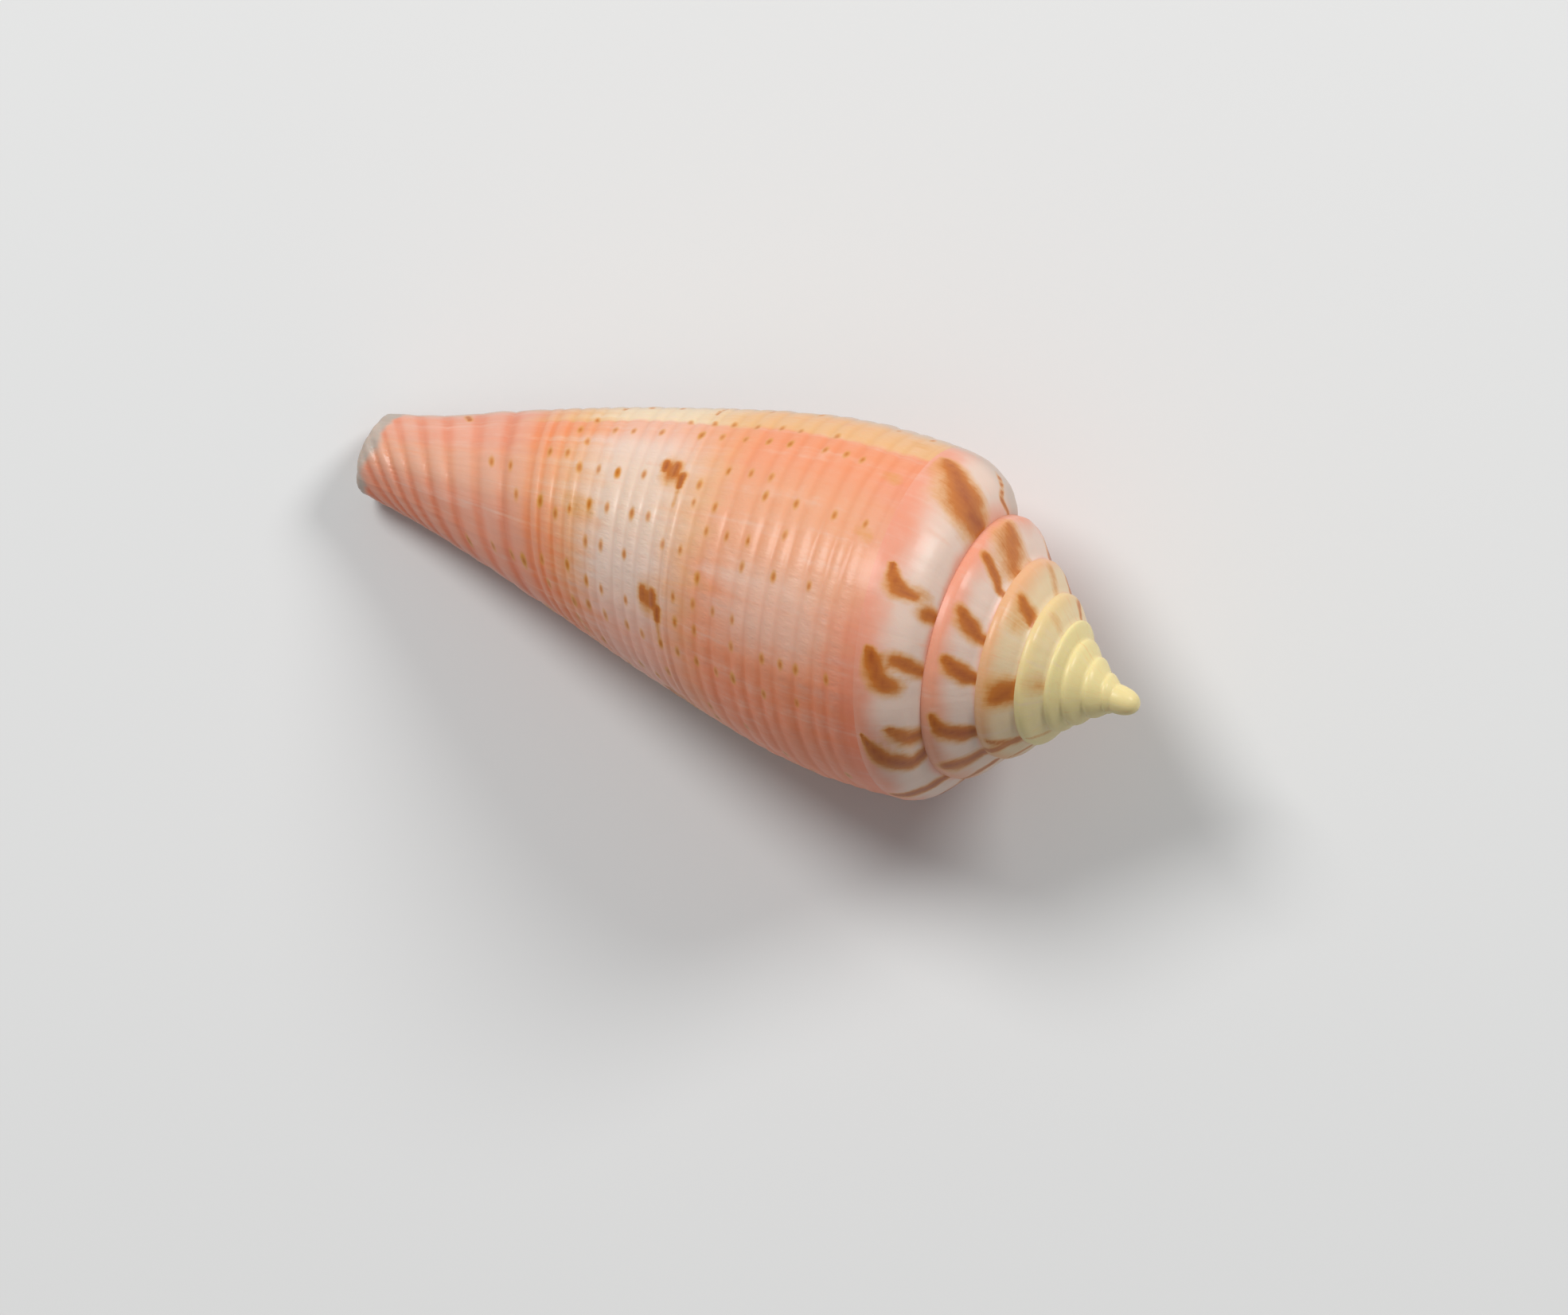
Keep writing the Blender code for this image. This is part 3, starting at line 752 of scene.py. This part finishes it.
# dots along old lip edges: the age of the edge, and the reach of each dot on it
DOT_ROWS = (
    (-0.034, (22.0, 21.0, 19.8, 18.1, 16.2, 14.3, 11.1, 9.7)),
    (-0.083, (22.8, 18.9, 17.9, 17.1, 16.1, 15.1, 14.3, 12.8)),
    (-0.109, (23.3, 21.8, 21.0, 19.8, 18.1, 17.2, 16.2, 15.2, 14.3, 12.8, 11.9, 11.2)),
    (-0.133, (22.8,)),
    (-0.156, (24.3, 23.5, 16.2, 15.2, 14.3)),
    (-0.177, (22.8, 21.9, 21.0, 19.8, 17.2, 14.2, 12.8, 11.1, 9.75)),
    (-0.187, (26.9, 26.0)),
    (-0.197, (17.2, 16.2)),
    (-0.209, (12.8,)),
    (-0.224, (22.0, 21.1, 19.9, 19.1, 16.3, 15.3, 14.3)),
    (-0.236, (25.6, 24.4, 22.9)),
    (-0.249, (23.6, 18.2, 17.3, 14.3, 12.8, 11.2)),
    (-0.273, (22.0, 21.2, 20.0, 16.3)),
    (-0.299, (17.4, 16.4, 15.4, 14.4)),
    (-0.312, (23.0,)),
    (-0.326, (24.4, 22.0, 21.2, 19.9, 17.3, 16.3, 14.4, 12.9, 12.0, 11.3, 9.9)),
    (-0.345, (27.2, 26.2, 25.5)),
    (-0.362, (24.3, 22.1, 21.2, 20.0, 19.2, 18.2, 17.3, 16.3, 15.3, 14.4, 12.9, 11.3)),
    (-0.370, (23.0, 28.8)),
    (-0.403, (18.2, 23.1)),
    (-0.426, (23.0, 22.0, 20.0, 19.1, 16.3, 14.4)),
)
STRONG_DOTS = ((-0.109, 18.1), (-0.109, 14.3), (-0.177, 21.0), (-0.224, 22.0), (-0.312, 23.0),
               (-0.362, 18.2), (-0.362, 14.4), (-0.370, 23.0), (-0.236, 24.4), (-0.345, 25.5))
DOT_CORDS = (9.8, 11.2, 12.0, 12.85, 14.3, 15.3, 16.3, 17.3, 18.1, 19.1, 19.95, 21.1, 22.0, 23.0, 24.4,
             25.6, 26.9, 28.2)
DOT_LENGTH = 0.175
DOT_WIDTH = 0.095
MARK_WIDTH = 1.2


def hidden_side_marks(rng):
    """The same kinds of marks on the part of the whorls that faces the floor."""
    steps = []
    sides = []
    dots = []
    for turn, first, last, gap, strength in (
        (0, 0.48, 0.97, 0.088, 1.0), (1, 0.52, 0.99, 0.085, 0.95), (2, 0.42, 0.98, 0.12, 0.7),
        (3, 0.45, 0.95, 0.17, 0.35),
    ):
        age = first
        while age < last:
            start = -turn - age
            size = 1.0 - 0.25 * turn
            lean = rng.uniform(0.015, 0.05)
            steps.append((strength, (
                (start, rng.uniform(0.62, 0.82), 0.22 * size),
                (start - lean * 0.5, 0.48, rng.uniform(0.32, 0.60) * size),
                (start - lean, rng.uniform(0.08, 0.25), rng.uniform(0.28, 0.55) * size),
            )))
            age += gap * rng.uniform(0.75, 1.2)
    for age in (0.452, 0.600, 0.735, 0.880):
        top = 19.0 + rng.uniform(-0.2, 0.2)
        long = rng.uniform(0.02, 0.034)
        for k, width in enumerate((0.26, 0.30, 0.20)):
            start = -age - 0.006 * k
            sides.append((1.0, ((start, top - 0.48 * k, width), (start - long, top - 0.48 * k, width))))
    age = 0.452
    while age < 0.985:
        for reach in DOT_CORDS:
            if rng.random() < 0.42:
                place = (-age + rng.normal(0.0, 0.002), reach + rng.normal(0.0, 0.04))
                dots.append((*place, rng.uniform(0.5, 1.0)))
        age += rng.uniform(0.020, 0.032)
    return steps, sides, dots


def path_value(age, value):
    """Distance along the whorl at lip size: below 0 on the step, 0 at the shoulder."""
    return np.where(value <= STEP_TOP, value - STEP_TOP, value - shoulder(age)[1])


def local_radius(age, value):
    across = np.clip(1.0 - (STEP_TOP - value) / STEP_SPAN, 0.0, 1.0)
    step = step_point(age, across)[0]
    return np.where(value <= STEP_TOP, step, whorl_radius(age, value)) * growth(age)


def stroke_field(age, value, strokes):
    """Up to 1 along each stroke's middle and 0 at its edge; the strongest stroke counts."""
    field = np.full(len(age), -1.0)
    path = path_value(age, value)
    for strength, points in strokes:
        for (a0, v0, w0), (a1, v1, w1) in zip(points, points[1:]):
            middle = (a0 + a1) / 2.0
            near = np.abs(age - middle) < abs(a1 - a0) / 2.0 + 0.06 / float(growth(middle))
            if not near.any():
                continue
            scale = float(growth(middle))
            around = 2.0 * math.pi * float(local_radius(middle, np.float64((v0 + v1) / 2.0)))
            p0 = np.array([a0 * around, float(path_value(a0, np.float64(v0))) * scale])
            p1 = np.array([a1 * around, float(path_value(a1, np.float64(v1))) * scale])
            x = age[near] * around - p0[0]
            y = path[near] * scale - p0[1]
            along = p1 - p0
            t = np.clip((x * along[0] + y * along[1]) / (along @ along + 1e-9), 0.0, 1.0)
            distance = np.hypot(x - t * along[0], y - t * along[1])
            value_here = np.maximum(1.0 - distance / ((w0 + (w1 - w0) * t) * MARK_WIDTH), -1.0)
            value_here = np.where(value_here > 0.0, value_here * strength, value_here)
            field[near] = np.maximum(field[near], value_here)
    return field


def nearest_dots(age, value, dots):
    """For every face the offset of its corners from the nearest dot, in dot sizes."""
    centre_age = age.mean(axis=1)
    centre_value = value.mean(axis=1)
    best = np.full(len(age), 9.0)
    offset = np.full(age.shape + (2,), 9.0)
    strength = np.zeros(len(age))
    for dot_age, dot_reach, dot_strength in dots:
        scale = float(growth(dot_age))
        around = 2.0 * math.pi * float(side_radius(dot_reach)) * scale
        long = DOT_LENGTH * (0.8 + 0.5 * dot_strength)
        wide = DOT_WIDTH * (0.85 + 0.4 * dot_strength)
        near = (np.abs(centre_age - dot_age) < 0.04) & (np.abs(centre_value - dot_reach) < 0.6)
        x = (centre_age[near] - dot_age) * around / long
        y = (centre_value[near] - dot_reach) * scale / wide
        distance = np.hypot(x, y)
        index = np.flatnonzero(near)[distance < best[near]]
        best[index] = distance[distance < best[near]]
        offset[index, :, 0] = (age[index] - dot_age) * around / long
        offset[index, :, 1] = (value[index] - dot_reach) * scale / wide
        strength[index] = dot_strength
    return offset, strength


def all_dots(hidden):
    dots = list(hidden)
    rng = np.random.default_rng(4)
    for age, reaches in DOT_ROWS:
        for reach in reaches:
            strong = any(abs(age - a) < 1e-6 and abs(reach - r) < 1e-6 for a, r in STRONG_DOTS)
            strength = 1.0 if strong else rng.uniform(0.45, 0.75)
            dots.append((age + rng.normal(0.0, 0.0008), reach, strength))
    return dots


def with_step_values(marks):
    """Turns the share of the step in each stroke into the value that the surface carries."""
    return [
        (strength, tuple(
            (age, STEP_TOP - STEP_SPAN * (1.0 - across), width) for age, across, width in points
        ))
        for strength, points in marks
    ]


SHARP_EDGE = math.radians(62.0)


def link(thing):
    bpy.context.scene.collection.objects.link(thing)


def build_shell(outside, inside, edge):
    """The whole visible shell as one closed mesh with its paint values on the face corners."""
    sheet = build_sheet()
    mesh = bpy.data.meshes.new("cone_shell")
    mesh.from_pydata(np.concatenate(sheet.points).tolist(), [], sheet.faces)
    sizes = np.array([len(face) for face in sheet.faces])
    places = np.array([place for face in sheet.places for place in face], float)
    age = places[:, 0]
    value = places[:, 1]
    hidden_steps, hidden_sides, hidden_dots = hidden_side_marks(np.random.default_rng(12))
    strokes = with_step_values(list(STEP_MARKS) + hidden_steps) + list(SIDE_MARKS) + hidden_sides
    marks = stroke_field(age, value, strokes)
    starts = np.concatenate([[0], np.cumsum(sizes)[:-1]])
    corners = np.minimum(np.arange(4)[None, :], sizes[:, None] - 1) + starts[:, None]
    offset, strength = nearest_dots(age[corners], value[corners], all_dots(hidden_dots))
    spots = np.full((len(age), 2), 9.0)
    spots[corners] = offset
    dot_strength = np.zeros(len(age))
    dot_strength[corners] = strength[:, None]
    phase = cord_phase(value)[0]
    flat = np.concatenate(sheet.points)
    depth = -to_shell(flat)[:, 2]
    vertex = np.array([v for face in sheet.faces for v in face])
    rim = LENGTH - depth[vertex]
    for name, pairs in (("growth", places), ("dots", spots)):
        layer = mesh.uv_layers.new(name=name)
        layer.data.foreach_set("uv", pairs.astype(np.float32).ravel())
    for name, values in (("mark", marks), ("dot_strength", dot_strength), ("cord", phase), ("rim", rim)):
        layer = mesh.attributes.new(name, "FLOAT", "CORNER")
        layer.data.foreach_set("value", values.astype(np.float32))
    for material in (outside, inside, edge):
        mesh.materials.append(material)
    mesh.polygons.foreach_set("material_index", np.array(sheet.kinds, np.int32))
    mesh.update()
    shell = bpy.data.objects.new("corded_shell", mesh)
    link(shell)
    mesh.shade_smooth()
    mesh.set_sharp_from_angle(angle=SHARP_EDGE)
    return shell


def linear(red, green, blue):
    """A colour as seen on screen, 0 to 255, as the light values a shader takes."""
    out = []
    for channel in (red, green, blue):
        c = channel / 255.0
        out.append(c / 12.92 if c <= 0.04045 else ((c + 0.055) / 1.055) ** 2.4)
    return (*out, 1.0)


SALMON = linear(232, 151, 112)
PINK = linear(230, 148, 118)
ROSE = linear(220, 137, 106)
ORANGE = linear(232, 138, 86)
APRICOT = linear(228, 166, 122)
WHITE = linear(228, 200, 183)
STRAW = linear(226, 177, 118)
CREAM = linear(230, 206, 166)
IVORY = linear(226, 200, 160)
BUFF = linear(222, 172, 122)
YELLOW = linear(232, 214, 152)
GREY = linear(176, 162, 150)
PALE_GREY = linear(196, 178, 164)
RUST = linear(176, 84, 44)
EMBER = linear(234, 108, 52)
GOLD = linear(214, 150, 72)
BROWN = linear(192, 108, 24)
DARK_BROWN = linear(164, 78, 8)
LINING = linear(236, 196, 176)


class Paint:
    """Short ways to add shader nodes to one material."""

    def __init__(self, name):
        self.material = bpy.data.materials.new(name)
        self.material.use_nodes = True
        self.tree = self.material.node_tree
        self.shader = self.tree.nodes["Principled BSDF"]

    def node(self, kind, inputs=(), **settings):
        node = self.tree.nodes.new(kind)
        for name, value in settings.items():
            setattr(node, name, value)
        for socket, value in dict(inputs).items():
            self.plug(node.inputs[socket], value)
        return node

    def plug(self, socket, value):
        if isinstance(value, bpy.types.NodeSocket):
            self.tree.links.new(value, socket)
        else:
            socket.default_value = value

    def math(self, operation, a, b=0.0, clamp=False):
        return self.node("ShaderNodeMath", {0: a, 1: b}, operation=operation, use_clamp=clamp).outputs[0]

    def times(self, a, b):
        return self.math("MULTIPLY", a, b)

    def plus(self, a, b):
        return self.math("ADD", a, b)

    def smooth(self, value, start, end):
        """0 before start and 1 after end; with end below start it falls instead."""
        low, high, first, last = (start, end, 0.0, 1.0) if start < end else (end, start, 1.0, 0.0)
        inputs = {"Value": value, "From Min": low, "From Max": high, "To Min": first, "To Max": last}
        return self.node("ShaderNodeMapRange", inputs, interpolation_type="SMOOTHSTEP").outputs["Result"]

    def band(self, value, start, full, fade, end):
        return self.times(self.smooth(value, start, full), self.smooth(value, end, fade))

    def mix(self, share, a, b):
        return self.node("ShaderNodeMix", {0: share, 6: a, 7: b}, data_type="RGBA").outputs[2]

    def wash(self, color, other, share, strength):
        """The colour with some of another laid over it."""
        return self.mix(self.times(share, strength), color, other)

    def ramp(self, value, low, high, stops):
        """Colours at places between low and high."""
        place = self.math("DIVIDE", self.math("SUBTRACT", value, low), high - low)
        node = self.node("ShaderNodeValToRGB")
        points = node.color_ramp.elements
        while len(points) < len(stops):
            points.new(0.5)
        for point, (at, color) in zip(points, sorted(stops)):
            point.position = (at - low) / (high - low)
            point.color = color
        self.plug(node.inputs[0], place)
        return node.outputs[0]

    def uv(self, name):
        node = self.node("ShaderNodeUVMap", uv_map=name)
        split = self.node("ShaderNodeSeparateXYZ")
        self.tree.links.new(node.outputs[0], split.inputs[0])
        return split.outputs[0], split.outputs[1]

    def value_of(self, name):
        return self.node("ShaderNodeAttribute", attribute_name=name).outputs["Fac"]

    def combine(self, x, y, z=0.0):
        return self.node("ShaderNodeCombineXYZ", {0: x, 1: y, 2: z}).outputs[0]

    def noise(self, vector, scale, detail=2.0, roughness=0.5):
        """Noise around 0, about -0.5 to 0.5."""
        inputs = {"Vector": vector, "Scale": scale, "Detail": detail, "Roughness": roughness}
        node = self.node("ShaderNodeTexNoise", inputs, normalize=True)
        return self.math("SUBTRACT", node.outputs["Fac"], 0.5)

    def position(self):
        return self.node("ShaderNodeTexCoord").outputs["Object"]

    def bump(self, height, distance, strength=1.0):
        inputs = {"Distance": distance, "Strength": strength, "Height": height}
        self.plug(self.shader.inputs["Normal"], self.node("ShaderNodeBump", inputs).outputs[0])

    def set(self, name, value):
        self.plug(self.shader.inputs[name], value)


def growth_noise(paint, age, value, fine, seed):
    """Streaks that follow old lip edges: quick along the spiral, slow down the side."""
    return paint.noise(paint.combine(paint.times(age, fine), paint.times(value, 0.12), seed), 1.0, 3.0)


def side_color(paint, reach, moved):
    """The side: salmon, with a white band, a pale patch and a straw coloured strip by the lip."""
    color = paint.ramp(reach, 8.0, 34.0, (
        (8.6, PINK), (10.4, SALMON), (15.4, SALMON), (16.8, APRICOT), (18.9, WHITE), (21.2, WHITE),
        (22.9, APRICOT), (24.2, ORANGE), (26.0, ROSE), (28.0, PINK), (30.0, ROSE), (33.0, ROSE),
    ))
    patch = paint.band(reach, 8.8, 11.4, 13.4, 16.2)
    patch = paint.times(patch, paint.band(moved, -0.350, -0.300, -0.270, -0.225))
    color = paint.wash(color, WHITE, patch, 0.50)
    # paler ivory band where the lamps face the side: partly the shell's own paler paint, partly a painted
    # highlight
    pale_paint_and_highlight = paint.band(moved, -0.290, -0.225, -0.185, -0.130)
    color = paint.wash(color, IVORY, pale_paint_and_highlight, 0.22)
    blush = paint.times(paint.band(moved, -0.152, -0.105, -0.089, -0.080), paint.smooth(reach, 28.0, 23.0))
    color = paint.wash(color, ORANGE, blush, 0.50)
    # redder band on the lower side, away from the lamps: partly a real change of colour after a growth line,
    # partly painted shade
    old = paint.band(moved, -0.62, -0.50, -0.40, -0.29)
    color = paint.wash(color, EMBER, old, 0.50)
    strip = paint.ramp(reach, 8.0, 34.0, (
        (8.6, STRAW), (16.8, STRAW), (18.6, CREAM), (21.6, CREAM), (23.2, STRAW), (26.0, ROSE), (33.0, ROSE),
    ))
    color = paint.mix(paint.times(paint.smooth(moved, -0.090, -0.081), 0.85), color, strip)
    return color


def step_color(paint, age, value, cloud):
    """The step: white with pink edges, turning ivory and yellow toward the tip."""
    middle = paint.ramp(age, -5.0, 0.0, (
        (-5.0, YELLOW), (-3.6, YELLOW), (-2.9, IVORY), (-2.0, IVORY), (-1.4, WHITE), (0.0, WHITE),
    ))
    edges = paint.ramp(age, -5.0, 0.0, (
        (-5.0, YELLOW), (-3.4, YELLOW), (-2.7, BUFF), (-1.8, APRICOT), (-1.2, PINK), (0.0, PINK),
    ))
    bend = paint.plus(value, paint.times(cloud, 1.6))
    lower = paint.times(paint.smooth(bend, 6.75, 7.60), 0.90)
    upper = paint.times(paint.smooth(bend, 6.15, 5.65), 0.6)
    return paint.mix(paint.math("MAXIMUM", lower, upper), middle, edges)


def add_marks(paint, color, position, streak):
    """Brown flames and blotches with soft golden edges, and the dots on the cords."""
    grain = paint.times(paint.noise(position, 800.0, 4.0, 0.65), 0.80)
    mark = paint.plus(paint.value_of("mark"), grain)
    mark = paint.plus(mark, paint.times(streak, 0.25))
    mark_color = paint.ramp(mark, 0.0, 1.0, ((0.0, GOLD), (0.24, GOLD), (0.55, BROWN), (1.0, DARK_BROWN)))
    color = paint.mix(paint.times(paint.smooth(mark, -0.16, 0.56), 0.94), color, mark_color)
    over, across = paint.uv("dots")
    grain = paint.times(paint.noise(position, 1500.0, 3.0), 1.3)
    squares = paint.plus(paint.times(over, over), paint.times(across, across))
    distance = paint.math("SQRT", squares)
    dot = paint.smooth(paint.plus(distance, grain), 1.7, 0.45)
    share = paint.plus(0.3, paint.times(paint.value_of("dot_strength"), 0.8))
    dot_color = paint.mix(paint.smooth(distance, 1.2, 0.0), GOLD, BROWN)
    return paint.mix(paint.math("MULTIPLY", dot, share, True), color, dot_color)


FINISH = (
    ("Subsurface Weight", 0.12),
    ("Subsurface Radius", (1.0, 0.35, 0.2)),
    ("Subsurface Scale", 0.0006),
    ("Coat Weight", 0.16),
    ("Coat Roughness", 0.20),
    ("Specular IOR Level", 0.22),
    ("IOR", 1.5),
)


def outside_paint():
    paint = Paint("shell_outside")
    age, value = paint.uv("growth")
    cord = paint.value_of("cord")
    position = paint.position()
    cloud = paint.noise(position, 320.0, 3.0)
    wash = paint.noise(position, 130.0, 3.0, 0.6)
    streak = growth_noise(paint, age, value, 60.0, 3.0)
    streak_fine = growth_noise(paint, age, value, 220.0, 8.0)
    wobble = paint.plus(paint.times(wash, 3.0), paint.times(streak, 3.0))
    reach = paint.plus(value, wobble)
    shift = paint.plus(paint.times(wash, 0.05), paint.times(cloud, 0.012))
    moved = paint.plus(age, shift)
    color = side_color(paint, reach, moved)
    # pale cords toward the front, finer light and dark lines elsewhere
    front = paint.smooth(value, 22.0, 26.5)
    crest = paint.smooth(cord, 0.35, 1.0)
    pale = paint.times(crest, paint.plus(0.08, paint.times(front, 0.18)))
    color = paint.mix(pale, color, WHITE)
    furrow = paint.smooth(cord, 0.75, 0.0)
    color = paint.wash(color, RUST, furrow, 0.06)
    frost = paint.smooth(paint.plus(wash, paint.times(cloud, 0.5)), -0.05, 0.35)
    color = paint.mix(paint.times(paint.times(frost, front), 0.40), color, WHITE)
    color = paint.mix(paint.smooth(value, 8.45, 8.1), color, step_color(paint, age, value, cloud))
    # soft unevenness: streaks along old lip edges, and short lighter and darker pieces of cord
    pieces = paint.noise(paint.combine(paint.times(age, 70.0), paint.times(value, 1.6), 4.0), 1.0, 3.0)
    tint = paint.plus(paint.times(streak, 0.9), paint.times(streak_fine, 0.5))
    tint = paint.plus(tint, paint.times(wash, 0.6))
    tint = paint.plus(tint, paint.times(pieces, 0.6))
    color = paint.mix(paint.times(paint.smooth(tint, 0.0, 0.8), 0.75), color, ORANGE)
    color = paint.mix(paint.times(paint.smooth(tint, 0.0, -0.8), 0.75), color, WHITE)
    # young edge of the lip
    young = paint.smooth(paint.plus(age, paint.times(cord, 0.008)), -0.045, -0.008)
    color = paint.wash(color, PALE_GREY, young, 0.85)
    color = add_marks(paint, color, position, streak_fine)
    # worn front rim, ragged and a little wider toward the lip
    ragged = paint.noise(position, 900.0, 3.0)
    rim = paint.plus(paint.value_of("rim"), paint.times(cloud, 1.1))
    rim = paint.plus(rim, paint.times(ragged, 0.9))
    rim = paint.math("SUBTRACT", rim, paint.times(paint.smooth(age, -0.30, -0.06), 0.15))
    worn = paint.smooth(rim, 0.62, 0.22)
    worn_color = paint.mix(paint.smooth(ragged, -0.22, 0.22), GREY, PALE_GREY)
    color = paint.mix(worn, color, worn_color)
    paint.set("Base Color", color)
    paint.set("Roughness", paint.plus(0.40, paint.times(cloud, 0.25)))
    beads = paint.times(crest, paint.noise(paint.combine(
        paint.times(age, 150.0), paint.times(value, 1.5), 6.0), 1.0, 2.0))
    beads = paint.times(beads, paint.smooth(value, 27.0, 21.0))
    height = paint.plus(paint.times(streak_fine, 0.15), paint.times(beads, 1.1))
    height = paint.plus(height, paint.times(paint.noise(position, 2600.0, 2.0), 0.3))
    paint.bump(height, 0.00005, 0.6)
    finish_shader(paint)
    return paint.material


def finish_shader(paint):
    for name, value in FINISH:
        paint.set(name, value)


def inside_paint():
    paint = Paint("mouth_lining")
    age, value = paint.uv("growth")
    cloud = paint.noise(paint.position(), 260.0, 2.0)
    streak = growth_noise(paint, age, value, 40.0, 5.0)
    color = paint.mix(paint.smooth(paint.plus(cloud, streak), -0.4, 0.4), LINING, PINK)
    paint.set("Base Color", color)
    paint.set("Roughness", paint.plus(0.26, paint.times(cloud, 0.1)))
    paint.bump(streak, 0.00002, 0.5)
    finish_shader(paint)
    return paint.material


def edge_paint():
    paint = Paint("worn_edge")
    cloud = paint.noise(paint.position(), 700.0, 3.0)
    color = paint.mix(paint.smooth(cloud, -0.3, 0.3), GREY, PALE_GREY)
    paint.set("Base Color", color)
    paint.set("Roughness", paint.plus(0.34, paint.times(cloud, 0.2)))
    paint.bump(cloud, 0.00004, 0.6)
    finish_shader(paint)
    return paint.material


# the camera's own directions, and where the middle of the photograph falls
TO_CAMERA = Vector((math.sin(math.radians(9.42)), 0.0, math.cos(math.radians(9.42))))
ROLL = math.radians(17.22)
LENS = 900.0
SENSOR = 36.0
FRAME_WIDTH = 0.05784
MIDDLE_DEPTH = 0.0057
MIDDLE_LEFT = 0.013004
MIDDLE_UP = 0.001593
# the lights: direction toward the camera, up and right, size across in metres, power in watts
LIGHT_DISTANCE = 0.40
LIGHTS = (
    ("key_left", (0.75, 0.62, -0.55), 0.16, 0.90),
    ("key_right", (0.70, 0.62, 0.60), 0.14, 0.78),
)
FLOOR_HALF = 2.0


def view_axes():
    along = Vector((TO_CAMERA.z, 0.0, -TO_CAMERA.x))
    across = Vector((0.0, 1.0, 0.0))
    right = along * math.cos(ROLL) + across * math.sin(ROLL)
    up = across * math.cos(ROLL) - along * math.sin(ROLL)
    return right, up


def add_camera():
    right, up = view_axes()
    target = Vector(AXIS_TIP) * MM - right * MIDDLE_LEFT + up * MIDDLE_UP - TO_CAMERA * MIDDLE_DEPTH
    data = bpy.data.cameras.new("camera")
    data.lens = LENS
    data.sensor_width = SENSOR
    data.clip_start = 0.01
    data.clip_end = 20.0
    camera = bpy.data.objects.new("camera", data)
    camera.location = target + TO_CAMERA * (FRAME_WIDTH * LENS / SENSOR)
    camera.rotation_euler = Matrix((right, up, TO_CAMERA)).transposed().to_euler()
    link(camera)
    bpy.context.scene.camera = camera
    return target


def add_light(target, name, direction, size, power):
    data = bpy.data.lights.new(name, "AREA")
    data.shape = "DISK"
    data.size = size
    data.energy = power
    light = bpy.data.objects.new(name, data)
    light.location = target + direction.normalized() * LIGHT_DISTANCE
    light.rotation_euler = direction.to_track_quat("Z", "Y").to_euler()
    link(light)


def add_lights(target):
    right, up = view_axes()
    for name, (near, high, side), size, power in LIGHTS:
        add_light(target, name, TO_CAMERA * near + up * high + right * side, size, power)
    world = bpy.data.worlds.new("studio")
    world.use_nodes = True
    background = world.node_tree.nodes["Background"]
    background.inputs["Color"].default_value = (0.92, 0.94, 0.97, 1.0)
    background.inputs["Strength"].default_value = 0.25
    bpy.context.scene.world = world


def plain_view():
    """Colours on screen as the paint gives them, without a film curve."""
    view = bpy.context.scene.view_settings
    view.view_transform = "Standard"
    view.look = "None"


def add_floor():
    mesh = bpy.data.meshes.new("floor")
    corners = [(x * FLOOR_HALF, y * FLOOR_HALF, 0.0) for x, y in ((-1, -1), (1, -1), (1, 1), (-1, 1))]
    mesh.from_pydata(corners, [], [(0, 1, 2, 3)])
    floor = bpy.data.objects.new("floor", mesh)
    link(floor)
    paint = Paint("pale_floor")
    paint.set("Base Color", (0.80, 0.80, 0.79, 1.0))
    paint.set("Roughness", 0.9)
    mesh.materials.append(paint.material)


shell = build_shell(outside_paint(), inside_paint(), edge_paint())
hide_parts("shell")
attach(shell, "root")
add_floor()
add_lights(add_camera())
plain_view()
